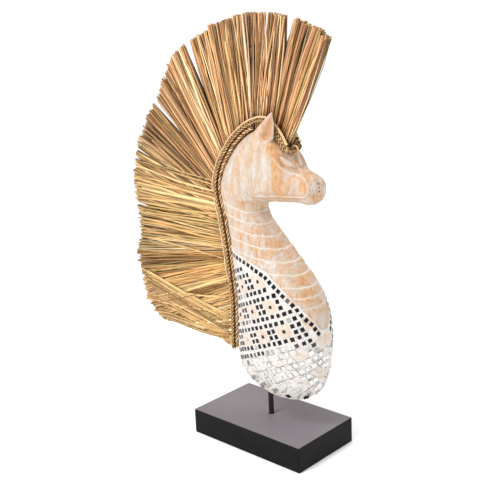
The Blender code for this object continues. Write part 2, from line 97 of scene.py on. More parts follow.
def makeStudio(values):
    size = values["floorSize"] / 2
    mesh = bpy.data.meshes.new("pale_floor")
    corners = [(-size, -size, 0), (size, -size, 0), (size, size, 0), (-size, size, 0)]
    mesh.from_pydata(corners, [], [(0, 1, 2, 3)])
    floor = bpy.data.objects.new("pale_floor", mesh)
    bpy.context.scene.collection.objects.link(floor)
    paint = bpy.data.materials.new("pale_floor")
    paint.use_nodes = True
    shader = paint.node_tree.nodes["Principled BSDF"]
    shader.inputs["Base Color"].default_value = (*values["floorTone"], 1)
    shader.inputs["Roughness"].default_value = 0.9
    mesh.materials.append(paint)
    world = bpy.data.worlds.new("soft_studio")
    bpy.context.scene.world = world
    bpy.context.scene.view_settings.view_transform = "Standard"
    world.use_nodes = True
    sky = world.node_tree.nodes["Background"]
    sky.inputs["Color"].default_value = (1, 1, 1, 1)
    sky.inputs["Strength"].default_value = values["skyStrength"]
    aim = Vector(values["aim"])
    for number, (azimuth, elevation, distance, width, watts) in enumerate(values["lamps"]):
        back = viewAxes(azimuth, elevation, 0)[2]
        light = bpy.data.lights.new(f"soft_box_{number}", "AREA")
        light.shape = "SQUARE"
        light.size = width
        light.energy = watts
        lamp = bpy.data.objects.new(light.name, light)
        bpy.context.scene.collection.objects.link(lamp)
        lamp.location = aim + back * distance
        lamp.rotation_euler = back.to_track_quat("Z", "Y").to_euler()


# Meshes from arrays

def gridFaces(rows, columns, first=0):
    # quads between neighbouring rows, whose columns close round
    row = np.arange(rows - 1)[:, None]
    column = np.arange(columns)[None, :]
    after = (column + 1) % columns
    quads = np.stack([row * columns + column, row * columns + after,
                      (row + 1) * columns + after, (row + 1) * columns + column], -1)
    return quads.reshape(-1, 4) + first


def fanFaces(ring, middle, outward=True):
    # triangles from a ring of points to one middle point
    after = np.roll(ring, -1)
    first, second = (ring, after) if outward else (after, ring)
    return np.stack([first, second, np.full(len(ring), middle)], -1)


def closedFaces(rows, columns, first=0):
    # a grid that closes round, with a fan of triangles to one middle point at each end
    ring = np.arange(columns) + first
    end = first + rows * columns
    return [gridFaces(rows, columns, first), fanFaces(ring, end, outward=False),
            fanFaces(ring + (rows - 1) * columns, end + 1)]


def makePiece(name, points, faces, material, attributes=None, smooth=True):
    mesh = bpy.data.meshes.new(name)
    mesh.from_pydata(np.asarray(points, float).tolist(), [], [f for block in faces for f in block.tolist()])
    for key, values in (attributes or {}).items():
        values = np.asarray(values, np.float32)
        kind = "FLOAT" if values.ndim == 1 else "FLOAT_COLOR"
        field = mesh.attributes.new(key, kind, "POINT")
        field.data.foreach_set("value" if kind == "FLOAT" else "color", values.ravel())
    mesh.polygons.foreach_set("use_smooth", np.full(len(mesh.polygons), smooth))
    mesh.materials.append(material)
    mesh.update()
    piece = bpy.data.objects.new(name, mesh)
    bpy.context.scene.collection.objects.link(piece)
    return piece


def unit(vectors):
    return vectors / np.maximum(np.linalg.norm(vectors, axis=-1, keepdims=True), 1e-12)


def tubes(lines, side, wide, thick, sides):
    # many tubes at once: lines is tube x point x 3, side a direction across them, wide and thick half sizes
    along = unit(np.gradient(lines, axis=1))
    across = unit(side - along * np.sum(side * along, -1, keepdims=True))
    above = np.cross(along, across)
    angle = np.arange(sides) / sides * fullTurn
    ring = (across[:, :, None] * (np.cos(angle)[None, None, :, None] * wide[:, :, None, None])
            + above[:, :, None] * (np.sin(angle)[None, None, :, None] * thick[:, :, None, None]))
    points = lines[:, :, None] + ring
    tubeCount, pointCount = lines.shape[:2]
    start = (np.arange(tubeCount) * pointCount * sides)[:, None, None]
    quads = (gridFaces(pointCount, sides)[None] + start).reshape(-1, 4)
    foot = np.arange(sides)[::-1][None] + start[:, :, 0]
    head = np.arange(sides)[None] + (pointCount - 1) * sides + start[:, :, 0]
    return points.reshape(-1, 3), [quads, foot, head]


def smoothRows(table, position):
    # Catmull-Rom value of a table's rows at positions counted in rows
    table = np.asarray(table, float)
    position = np.asarray(position, float)
    last = len(table) - 1
    index = np.clip(np.floor(position).astype(int), 0, last - 1)
    t = (position - index)[..., None]
    before = table[np.maximum(index - 1, 0)]
    start = table[index]
    end = table[index + 1]
    after = table[np.minimum(index + 2, last)]
    return 0.5 * (2 * start + (end - before) * t + (2 * before - 5 * start + 4 * end - after) * t ** 2
                  + (3 * start - before - 3 * end + after) * t ** 3)


def bump(distance, width):
    return np.exp(-(distance / width) ** 2)


def ease(low, high, value):
    t = np.clip((value - low) / (high - low), 0, 1)
    return t * t * (3 - 2 * t)


def wave(x, seed):
    # smooth wandering value of about -1 to 1, a sum of sines whose steps don't fit each other
    total = np.zeros_like(np.asarray(x, float))
    for k in range(3):
        total += np.sin(x * 2.17 ** k * 1.31 + seed * (3.7 + k) + k) / (1.4 + 0.8 * k)
    return total / 1.3


# Form of the carving

horseForm = {
    # front x and z, back x and z, half width, fuller in front, power of the superellipse, all lengths in mm
    "sections": [
        (44, 75.5, 36, 75.5, 3, 0.0, 2.2), (60, 78, 14, 79, 15, 0.05, 2.2),
        (78, 87, -10, 85, 27, 0.10, 2.2), (92, 104, -31, 97, 35, 0.14, 2.2),
        (98, 126, -44, 114, 39.5, 0.16, 2.2), (101.5, 149, -49, 137, 41.5, 0.17, 2.2),
        (102.5, 174, -47.5, 168, 42.5, 0.18, 2.2), (99.5, 201, -46.5, 202, 42, 0.18, 2.2),
        (92.5, 225, -48.5, 230, 40.5, 0.17, 2.2), (81, 246, -51, 253, 38, 0.15, 2.2),
        (65.5, 264, -53, 273, 35, 0.12, 2.2), (49.5, 281, -55.5, 291, 32.5, 0.10, 2.2),
        (33.5, 297, -58, 308, 30.5, 0.08, 2.2), (17.5, 313, -61, 326, 29, 0.06, 2.2),
        (4.5, 328, -65, 342, 28, 0.05, 2.2), (0, 341, -68.5, 358, 28.5, 0.05, 2.2),
        (4, 348, -67.5, 376, 29.5, 0.06, 2.2), (12, 352, -60, 395, 31, 0.08, 2.2),
        (22, 354, -48, 413, 32, 0.08, 2.2), (33, 355, -32, 431, 32.5, 0.06, 2.3),
        (44, 355.5, -10, 446.5, 32, 0.04, 2.2), (53, 356, 14, 451.5, 31, 0.0, 2.3),
        (61, 356.5, 32, 444, 30, -0.03, 2.3), (68, 356.5, 45, 430, 28, -0.06, 2.3),
        (75, 356.5, 54.5, 415, 25.5, -0.08, 2.3), (81, 356, 66, 404, 22.5, -0.06, 2.3),
        (86.5, 356, 79.5, 398.5, 20.5, -0.02, 2.3), (91.5, 357.5, 90.5, 394.5, 19.5, 0.0, 2.3),
        (96, 361, 97, 389.5, 16.5, 0.0, 2.3), (99, 366.5, 99.5, 382.5, 10, 0.0, 2.2),
        (100.5, 373, 100.5, 376, 2, 0.0, 2.2),
    ],
    "ringHeights": [0.345, 0.3295, 0.3135, 0.2975, 0.2815, 0.2655, 0.2495, 0.2360, 0.2225],
    "patchEdge": 0.0432,
    "ringWidth": 0.0010,
    "ringDepth": 0.0011,
    "ringWobble": (0.0005, 0.0003),
    "cheekWidth": 0.0008,
    "cheekRise": 0.0010,
    "browWidth": 0.0030,
    "browRise": 0.0016,
    "columns": 212,
    "cheekLine": [(43, 419), (50, 412), (57, 404.5), (65, 399), (76, 396), (87, 391), (94, 380), (88.5, 370),
                  (65, 368), (41, 366.5), (11, 364.5), (1, 370), (-7, 376), (-13, 387), (-15, 396)],
    "browLine": [(34, 436), (44, 428), (53, 418), (62, 407)],
    "eye": (24.15, 203.0),
    "eyeLength": 0.0120,
    "eyeHeight": 0.0046,
    "eyeTurn": 24.0,
    "eyeRise": 0.0026,
    "socketDepth": 0.0020,
    "lidRise": 0.0007,
    "nostrils": [(98.5, 385.5), (99.5, 381.0), (100.1, 375.5)],
    "nostrilAside": 0.0024,
    "nostrilWidth": 0.0013,
    "nostrilDepth": 0.0009,
    "mouthHalf": 0.016,
    "mouthDepth": 0.0004,
    "unevenRise": 0.00035,
    "grainRise": 0.00022,
}


def bodyPoint(position, angle, grow=0.0):
    # angle 0 is the front of a section, half a turn its back, and the near side, Y < 0, the second half turn
    row = smoothRows(horseForm["sections"], position)
    zero = np.zeros_like(row[..., 0])
    front = np.stack([row[..., 0], zero, row[..., 1]], -1) * mm
    back = np.stack([row[..., 2], zero, row[..., 3]], -1) * mm
    middle = (front + back) / 2
    reach = (front - back) / 2
    length = np.linalg.norm(reach, axis=-1)
    power = 2 / row[..., 6]
    along = np.sign(np.cos(angle)) * np.abs(np.cos(angle)) ** power
    across = np.sign(np.sin(angle)) * np.abs(np.sin(angle)) ** power
    widened = row[..., 4] * mm * (1 + row[..., 5] * along) + grow
    side = np.stack([zero, widened * across, zero], -1)
    return middle + reach * (along * (1 + grow / length))[..., None] + side


def bodyFrame(position, angle):
    # point, outward normal, direction round the section and direction up the body
    small = 0.02
    point = bodyPoint(position, angle)
    roundWay = unit(bodyPoint(position, angle + small) - bodyPoint(position, angle - small))
    upWay = unit(bodyPoint(position + small, angle) - bodyPoint(position - small, angle))
    normal = unit(np.cross(roundWay, upWay))
    return point, normal, roundWay, upWay


def sectionHeight(position):
    row = smoothRows(horseForm["sections"], position)
    return (row[..., 1] + row[..., 3]) / 2 * mm


def positionAtHeight(height):
    # place on the neck, between the mosaic and the jaw, whose section lies at a height
    steps = np.linspace(7.0, 15.0, 4000)
    return np.interp(height, sectionHeight(steps), steps)


def distanceToLine(points, line):
    # distance in the plane XZ from each point to a line of straight steps
    line = np.array(line, float) * mm
    nearest = np.full(points.shape[:-1], 1.0)
    flat = points[..., [0, 2]]
    for start, end in zip(line[:-1], line[1:]):
        step = end - start
        share = np.clip(np.sum((flat - start) * step, -1) / np.sum(step * step), 0, 1)
        nearest = np.minimum(nearest, np.linalg.norm(flat - start - share[..., None] * step, axis=-1))
    return nearest


def smoothLine(line, steps=8):
    position = np.linspace(0, len(line) - 1, (len(line) - 1) * steps + 1)
    return smoothRows(line, position)


def surfaceNormals(points):
    # cross product of the two directions of a grid whose columns close round
    roundWay = np.roll(points, -1, 1) - np.roll(points, 1, 1)
    upWay = np.gradient(points, axis=0)
    return unit(np.cross(roundWay, upWay))


def horseRows():
    # rows of the loft: close together on the rings and on the head
    grooves = positionAtHeight(np.array(horseForm["ringHeights"]))
    parts = [np.linspace(0, 7, 22), np.linspace(7, 15, 60), np.linspace(14.6, 30, 250)]
    parts += [groove + np.linspace(-0.11, 0.11, 11) for groove in grooves]
    rows = np.unique(np.round(np.concatenate(parts), 4))
    keep = np.concatenate(([True], np.diff(rows) > 0.006))
    return rows[keep]


def carvedRelief(position, angle, points):
    # height of the relief over the plain form, and masks for pale line, eyeball, hole, socket and the painted
    # shade in the creases
    form = horseForm
    height = sectionHeight(position)
    near = points[..., 1]
    slow, fast = form["ringWobble"]
    wobble = slow * wave(angle * 2.3, 1.0) + fast * wave(angle * 9, 4.0)
    neck = (position < 15.6) & (position > 6)
    groove = np.zeros_like(height)
    for ring in form["ringHeights"]:
        groove = np.maximum(groove, bump(height + wobble - ring, form["ringWidth"]) * neck)
    relief = -form["ringDepth"] * groove
    head = position > 14.5
    fromCheek = distanceToLine(points, smoothLine(form["cheekLine"]))
    cheek = bump(fromCheek, form["cheekWidth"]) * head
    relief += form["cheekRise"] * cheek
    fromBrow = distanceToLine(points, smoothLine(form["browLine"]))
    relief += form["browRise"] * bump(fromBrow, form["browWidth"]) * head
    eyePosition, eyeAngle = form["eye"]
    centre, outward, roundWay, upWay = bodyFrame(np.array(eyePosition), np.array(math.radians(eyeAngle)))
    turn = math.radians(form["eyeTurn"])
    longAxis = upWay * math.cos(turn) - roundWay * math.sin(turn)
    shortAxis = np.cross(outward, longAxis)
    folded = np.stack([points[..., 0], -np.abs(near), points[..., 2]], -1) - centre
    lengthWay = folded @ longAxis / form["eyeLength"]
    heightWay = folded @ shortAxis / form["eyeHeight"]
    almond = np.sqrt(lengthWay ** 2 + (heightWay / (1 - 0.45 * np.clip(np.abs(lengthWay), 0, 1) ** 2)) ** 2)
    ball = np.clip(1 - almond ** 2, 0, None) ** 0.5 * head
    socket = bump(np.maximum(almond - 1.15, 0), 0.75) * head
    lid = bump(almond - 1.2, 0.13) * head
    relief += form["eyeRise"] * ball - form["socketDepth"] * socket + form["lidRise"] * lid
    holes = np.zeros_like(height)
    for x, z in form["nostrils"]:
        gap = np.hypot(points[..., 0] - x * mm, points[..., 2] - z * mm)
        holes = np.maximum(holes, bump(np.hypot(gap, near + form["nostrilAside"]), form["nostrilWidth"]))
    relief -= form["nostrilDepth"] * holes
    mouth = bump(position - 28.05 - 0.25 * np.cos(angle), 0.10) * (np.abs(near) < form["mouthHalf"])
    relief -= form["mouthDepth"] * mouth
    # uneven hand-smoothed wood
    uneven = wave(points[..., 2] * 160 + 3 * wave(points[..., 0] * 60, 2.0), 5.0)
    relief += form["unevenRise"] * uneven * (position > 6)
    grain = wave(points[..., 0] * 420 + near * 300, 7.0) * wave(points[..., 2] * 90, 3.0)
    relief += form["grainRise"] * grain
    line = np.maximum(0.34 * cheek, groove)
    # painted shade: darker beside the cheek line, round the eye's rim and in the mouth line
    creaseShade = np.maximum(0.55 * bump(fromCheek - 0.0027, 0.0009), 0.8 * bump(almond - 1.12, 0.10)) * head
    creaseShade = np.maximum(creaseShade, 0.5 * mouth)
    return relief, line, ball, holes, socket, creaseShade


# Wood bare of lime: places rubbed down on the real carving, x and z in mm, spread in mm and strength
barePlaces = [
    (39, 430, 7, 2.1), (43, 423, 7, 2.0), (48, 415, 6, 2.0), (51, 403, 7, 1.3), (50, 390, 8, 1.4),
    (51, 377, 8, 1.2), (62, 384, 8, 0.6), (70, 392, 7, 0.75), (86, 383, 6, 1.4), (82, 396, 7, 0.8),
    (98, 366, 6, 0.5), (81, 364, 7, 0.5), (60, 359, 8, 1.0), (34, 356, 10, 1.0), (18, 449, 8, 0.6),
    (4, 342, 10, 1.0), (52, 426, 5, 0.8), (58, 410, 6, 1.2), (8, 326, 9, 0.6), (22, 310, 12, 0.6),
    (36, 296, 12, 0.65), (54, 276, 12, 0.65), (72, 254, 12, 0.7), (84, 236, 11, 0.6), (94, 214, 10, 0.45),
    (30, 290, 10, 0.7), (52, 266, 10, 0.6), (-16, 350, 10, 0.6), (-30, 338, 12, 0.5), (0, 312, 12, 0.6),
    (-16, 300, 12, 0.4), (-45, 352, 10, 0.4), (10, 285, 12, 0.35), (-40, 372, 8, 0.35), (100, 192, 8, 0.5),
]


def bareMask(points):
    flat = points[..., [0, 2]]
    mask = np.zeros(points.shape[:-1])
    for x, z, spread, strength in barePlaces:
        gap = np.linalg.norm(flat - np.array([x, z]) * mm, axis=-1)
        mask = np.maximum(mask, strength * bump(gap, spread * mm))
    return mask


def makeHorse(material):
    rows = horseRows()
    columns = horseForm["columns"]
    angle = np.arange(columns) / columns * fullTurn
    position, angle = np.meshgrid(rows, angle, indexing="ij")
    points = bodyPoint(position, angle)
    normal = surfaceNormals(points)
    relief, line, ball, holes, socket, creaseShade = carvedRelief(position, angle, points)
    fade = ease(0, 0.6, position) * ease(30, 29.6, position)
    points = points + normal * (relief * fade)[..., None]
    bare = bareMask(points)
    bare = np.maximum(bare, 0.55 * socket * (1 - np.clip(ball * 3, 0, 1)))
    bare *= 1 - 0.75 * np.clip(ball * 2, 0, 1)
    # the rubbed cheek ends at an upright edge behind the eye
    side = ease(0.012, 0.020, np.abs(points[..., 1])) * (position > 18)
    edge = ease(horseForm["patchEdge"] - 0.0008, horseForm["patchEdge"] + 0.0008, points[..., 0])
    cheekPatch = bump(points[..., 0] - horseForm["patchEdge"], 0.014) * ease(0.368, 0.374, points[..., 2])
    cheekPatch = cheekPatch * ease(0.418, 0.410, points[..., 2]) * side
    behind = side * (1 - edge) * ease(0.422, 0.416, points[..., 2]) * ease(0.000, 0.010, points[..., 0])
    bare *= 1 - 0.8 * behind
    bare = np.maximum(bare, 1.5 * cheekPatch * edge)
    flat = points.reshape(-1, 3)
    flat = np.vstack([flat, flat[:columns].mean(0), flat[-columns:].mean(0)])
    poll = (position > 18.5) & (position < 24.5) & (points[..., 1] < 0)
    earPoints, earFaces, hollow = makeEars(len(flat), points[poll])
    blank = np.zeros(len(earPoints))
    # the ear's hollow shows bare wood and also gets painted shade
    earMasks = {"bare": np.maximum(hollow, bareMask(earPoints)), "creaseShade": 0.95 * hollow}
    masks = {"line": line, "bare": bare, "eyeball": np.clip(ball * 3, 0, 1), "hole": holes, "creaseShade": creaseShade}
    attributes = {key: np.concatenate([mask.ravel(), [0, 0], earMasks.get(key, blank)])
                  for key, mask in masks.items()}
    faces = closedFaces(len(rows), columns) + earFaces
    return makePiece("carved_wood", np.vstack([flat, earPoints]), faces, material, attributes)


ears = {
    "base": (0.0265, 0.0219, 0.4380),
    "tip": (0.0425, 0.0225, 0.4770),
    "halfLength": 0.0172,
    "halfThickness": 0.0057,
    "sunk": 0.55,
    "columns": 56,
    "levels": 54,
    "hollow": 0.75,
    "fillet": 0.0060,
    "closeness": 0.0014,
    "lean": 0.0042,
    "setBack": 0.0015,
    "flareBack": 0.0045,
}


def headSide(x, z, head):
    # half width of the head at places in the plane XZ, an average of its near points weighted by closeness
    apart = (x[:, None] - head[None, :, 0]) ** 2 + (z[:, None] - head[None, :, 2]) ** 2
    weight = np.exp((apart.min(axis=1, keepdims=True) - apart) / ears["closeness"] ** 2)
    return np.sum(weight * -head[None, :, 1], axis=1) / np.sum(weight, axis=1)


def makeEars(first, head):
    # ovals that shrink to the tip and spread where they sink into the head, with a hollow on the outer side
    base = np.array(ears["base"])
    tip = np.array(ears["tip"])
    level = np.linspace(-ears["sunk"], 0.995, ears["levels"])
    turn = np.arange(ears["columns"]) / ears["columns"] * fullTurn
    share, turn = np.meshgrid(level, turn, indexing="ij")
    above = np.clip(share, 0, 1)
    shrink = 1 - above ** 1.9
    flare = bump(np.clip(share + 0.15, 0, 2), 0.30)
    lean = ears["lean"] * ease(0.34, -0.22, share)
    acrossX = np.cos(turn)
    acrossY = np.sin(turn)
    outer = ease(0.0, 0.45, acrossY)
    dent = ears["hollow"] * outer * bump(acrossX - 0.32, 0.46) * ease(-0.05, 0.22, share) * (1 - above ** 6)
    backward = 1 + 0.34 * np.clip(-acrossX, 0, 1) * ease(0.95, 0.1, share)
    forward = 1 - np.clip(acrossX, 0, 1) * (0.16 + 0.34 * ease(0.16, -0.30, share))
    reach = ears["halfLength"] * shrink * acrossX * backward * forward
    thickness = ears["halfThickness"] * shrink * (1 + 0.20 * flare)
    hollow = np.concatenate([np.clip(dent / ears["hollow"] * 1.6, 0, 1).ravel(), [0, 0]])
    allPoints = []
    allFaces = []
    for side in (-1, 1):
        centre = (base + (tip - base) * share[..., None]) * [1, side, 1]
        x = centre[..., 0] + reach * (1 + 0.25 * flare) - ears["setBack"] - ears["flareBack"] * flare
        y = centre[..., 1] + side * (thickness * (acrossY - dent * 1.35) - lean)
        z = centre[..., 2] + 0.0010 * wave(turn * 1.5, 2) * above * shrink
        # the outer side runs into the head over a hollow fillet: a smooth maximum of both surfaces
        under = headSide(x.ravel(), z.ravel(), head).reshape(x.shape) - 0.0003
        apart = np.clip(1 - np.abs(np.abs(y) - under) / ears["fillet"], 0, 1)
        joined = np.maximum(np.abs(y), under) + apart ** 2 * ears["fillet"] / 4
        blend = ease(-0.2, 0.4, acrossY) * ease(-0.45, -0.20, share)
        y = side * (np.abs(y) * (1 - blend) + joined * blend)
        points = np.stack([x, y, z], -1).reshape(-1, 3)
        start = first + len(allPoints) * (len(points) + 2)
        # the near ear is the far one mirrored, so its faces turn the other way
        allFaces += [faces[:, ::side] for faces in closedFaces(ears["levels"], ears["columns"], start)]
        top = points[-ears["columns"]:].mean(0) + [0, 0, 0.0001]
        allPoints.append(np.vstack([points, points[:ears["columns"]].mean(0), top]))
    return np.vstack(allPoints), allFaces, np.tile(hollow, 2)


# Mosaic on the lower body

mosaic = {
    "proud": 0.0010,
    "border": [(-62, 287), (-5, 277), (30, 265), (52, 250), (77, 230), (96, 205), (104, 180)],
    "columns": 260,
    "outerRows": 210,
    "innerRows": 5,
    "shellDepth": 0.0030,
    "rowInset": 0.0065,
    "rowStart": 0.016,
    "tile": 0.0058,
    "pitch": 0.0088,
    "tileProud": 0.0006,
    "tileDepth": 0.0012,
    "origin": (0.1090, 0.2195),
    "across": (0.0360, 0.0143),
    "down": (0.0213, -0.0303),
    "lowest": 0.084,
    "farthestMiss": 0.0015,
    "besideMiddle": 0.003,
    "backMargin": 0.010,
    "borderInsets": (2.6, 3.0),
    "wornArc": 0.040,
    "roughness": (0.00022, 0.00018),
    # the line between tiles with the painted reflection of the room and those with that of the table: start,
    # its x, slope and highest place
    "paleStart": 0.120,
    "paleFrom": -0.026,
    "paleSlope": 0.54,
    "paleTop": 0.168,
    "paleBlend": 0.004,
    "facingDown": -0.50,
    "footFront": 0.058,
    "footTop": 0.0945,
    "woodBelow": [(89, 152), (59, 129), (97, 119)],
}


def borderHeight(x):
    line = np.array(mosaic["border"]) * mm
    return np.interp(x, line[:, 0], line[:, 1])


def borderPosition(angle, inset=0.0):
    # section position at which the surface meets the border line, by halving
    low = np.full(angle.shape, 2.0)
    high = np.full(angle.shape, 11.0)
    for _ in range(30):
        middle = (low + high) / 2
        point = bodyPoint(middle, angle)
        below = point[..., 2] + inset < borderHeight(point[..., 0])
        low = np.where(below, middle, low)
        high = np.where(below, high, middle)
    return low


def arcTable():
    # dense grid of the near side: arc length from the back round to each point, and its height
    position = np.linspace(0.4, 11.2, 420)
    angle = np.linspace(math.pi, fullTurn, 361)
    position, angle = np.meshgrid(position, angle, indexing="ij")
    points = bodyPoint(position, angle)
    steps = np.linalg.norm(np.diff(points, axis=1), axis=2)
    arcs = np.concatenate([np.zeros((len(steps), 1)), np.cumsum(steps, axis=1)], axis=1)
    return position, angle, points, arcs


def arcLength(position, angle, table):
    # arc length from the back midline, the same on both sides, read between the table's points
    folded = np.where(angle < math.pi, fullTurn - angle, angle)
    tablePosition, tableAngle, _, tableArcs = table
    rows = tablePosition[:, 0]
    columns = tableAngle[0]
    r = np.clip((position - rows[0]) / (rows[1] - rows[0]), 0, len(rows) - 1.001)
    c = np.clip((folded - columns[0]) / (columns[1] - columns[0]), 0, len(columns) - 1.001)
    r0 = r.astype(int)
    c0 = c.astype(int)
    fr = r - r0
    fc = c - c0
    top = tableArcs[r0, c0] * (1 - fc) + tableArcs[r0, c0 + 1] * fc
    bottom = tableArcs[r0 + 1, c0] * (1 - fc) + tableArcs[r0 + 1, c0 + 1] * fc
    return top * (1 - fr) + bottom * fr


def makeGrout(material, table):
    # closed shell: out along the grown surface from the foot to the border, over its edge and back inside
    columns = mosaic["columns"]
    angle = np.arange(columns) / columns * fullTurn
    border = borderPosition(angle)
    outer = np.linspace(0, 1, mosaic["outerRows"])[:, None] ** 0.9
    position = outer * border[None, :]
    turned = np.broadcast_to(angle[None, :], position.shape)
    points = bodyPoint(position, turned, mosaic["proud"])
    normal = surfaceNormals(points)
    coarse, fine = mosaic["roughness"]
    rough = (coarse * wave(points[..., 0] * 230 + points[..., 1] * 310, 3.0)
             + fine * wave(points[..., 2] * 340 + points[..., 0] * 120, 8.0))
    points = points + normal * (rough * ease(0, 0.08, outer))[..., None]
    inner = np.linspace(1, 0, mosaic["innerRows"])[:, None]
    innerPosition = np.maximum(inner * border[None, :], 0.25)
    innerPoints = bodyPoint(innerPosition, np.broadcast_to(angle[None, :], innerPosition.shape),
                            -mosaic["shellDepth"])
    allPoints = np.concatenate([points, innerPoints])
    arcs = arcLength(position, turned, table)
    low = ease(-mosaic["paleBlend"], mosaic["paleBlend"], paleZone(points[..., 0], points[..., 2]))
    wooden = 1 - low
    for x, z in mosaic["woodBelow"]:
        gap = np.hypot(points[..., 0] - x * mm, points[..., 2] - z * mm)
        wooden = np.maximum(wooden, bump(gap, 0.011))
    flat = allPoints.reshape(-1, 3)
    flat = np.vstack([flat, flat[:columns].mean(0), flat[-columns:].mean(0) + [0, 0, 0.001]])
    inside = np.zeros(len(flat) - arcs.size)
    masks = {"arc": arcs, "low": low, "wooden": wooden}
    attributes = {key: np.concatenate([mask.ravel(), inside]) for key, mask in masks.items()}
    return makePiece("grout_skin", flat, closedFaces(len(allPoints), columns), material, attributes)


def latticeTiles():
    # tile places as arc length and height: twelve round each diamond and one in its middle
    across = np.array(mosaic["across"])
    down = np.array(mosaic["down"])
    ringAcross = (-0.385, -0.128, 0.128, 0.385)
    ringDown = (-0.360, -0.120, 0.120, 0.360)
    cells = range(-7, 8)
    places = []
    for p in cells:
        for q in cells:
            centre = np.array(mosaic["origin"]) + across * p + down * q
            places.append((*centre, 0, p, q))
            for a in ringAcross:
                for b in ringDown:
                    if abs(a) > 0.3 or abs(b) > 0.3:
                        places.append((*(centre + across * a + down * b), 1, p, q))
    return np.array(places)


def findOnSurface(arc, height, table):
    position, angle, points, arcs = table
    flatArc = arcs.ravel()
    flatHeight = points[..., 2].ravel()
    index = np.array([np.argmin((flatArc - a) ** 2 + (flatHeight - h) ** 2) for a, h in zip(arc, height)])
    miss = np.hypot(flatArc[index] - arc, flatHeight[index] - height)
    return position.ravel()[index], angle.ravel()[index], miss


def tilePlaces(table):
    lattice = latticeTiles()
    position, angle, miss = findOnSurface(lattice[:, 0], lattice[:, 1], table)
    point, normal, roundWay, upWay = bodyFrame(position, angle)
    inset = np.where(lattice[:, 2] > 0, *mosaic["borderInsets"]) * mosaic["tile"]
    room = borderHeight(point[:, 0]) - inset
    keep = (miss < mosaic["farthestMiss"]) & (point[:, 2] < room) & (point[:, 2] > mosaic["lowest"])
    keep &= (point[:, 1] < -mosaic["besideMiddle"]) & (lattice[:, 0] > mosaic["backMargin"])
    # some diamonds have no tile in their middle
    cell = lattice[:, 3] * 10 + lattice[:, 4]
    keep &= ~((lattice[:, 2] == 0) & np.isin(cell, (2, -8, 13, 3, 23)))
    keep &= (normal[:, 2] > mosaic["facingDown"]) | (point[:, 0] > mosaic["footFront"])
    ahead = roundWay * mosaic["across"][0] + upWay * mosaic["across"][1]
    small = np.where(lattice[:, 2] > 0, 1.0, 0.80)
    rows = [position[keep], angle[keep], unit(ahead[keep]), small[keep]]
    # the row under the border
    angles = np.linspace(math.pi + 0.02, fullTurn - 0.02, 400)
    low = borderPosition(angles, mosaic["rowInset"])
    line = bodyPoint(low, angles)
    lengths = np.concatenate([[0], np.cumsum(np.linalg.norm(np.diff(line, axis=0), axis=1))])
    reach = np.arange(mosaic["rowStart"], lengths[-1] - mosaic["tile"], mosaic["pitch"])
    borderAngle = np.interp(reach, lengths, angles)
    borderSpot = np.interp(reach, lengths, low)
    step = unit(np.stack([np.interp(reach, lengths, np.gradient(line[:, k])) for k in range(3)], -1))
    return (np.concatenate([rows[0], borderSpot]), np.concatenate([rows[1], borderAngle]),
            np.vstack([rows[2], step]), np.concatenate([rows[3], np.full(len(reach), 0.98)]))


def paleZone(x, height):
    # distance below the line where the tiles' painted reflection turns to the pale table
    line = mosaic["paleStart"] + mosaic["paleSlope"] * (x - mosaic["paleFrom"])
    return np.minimum(line, mosaic["paleTop"]) - height


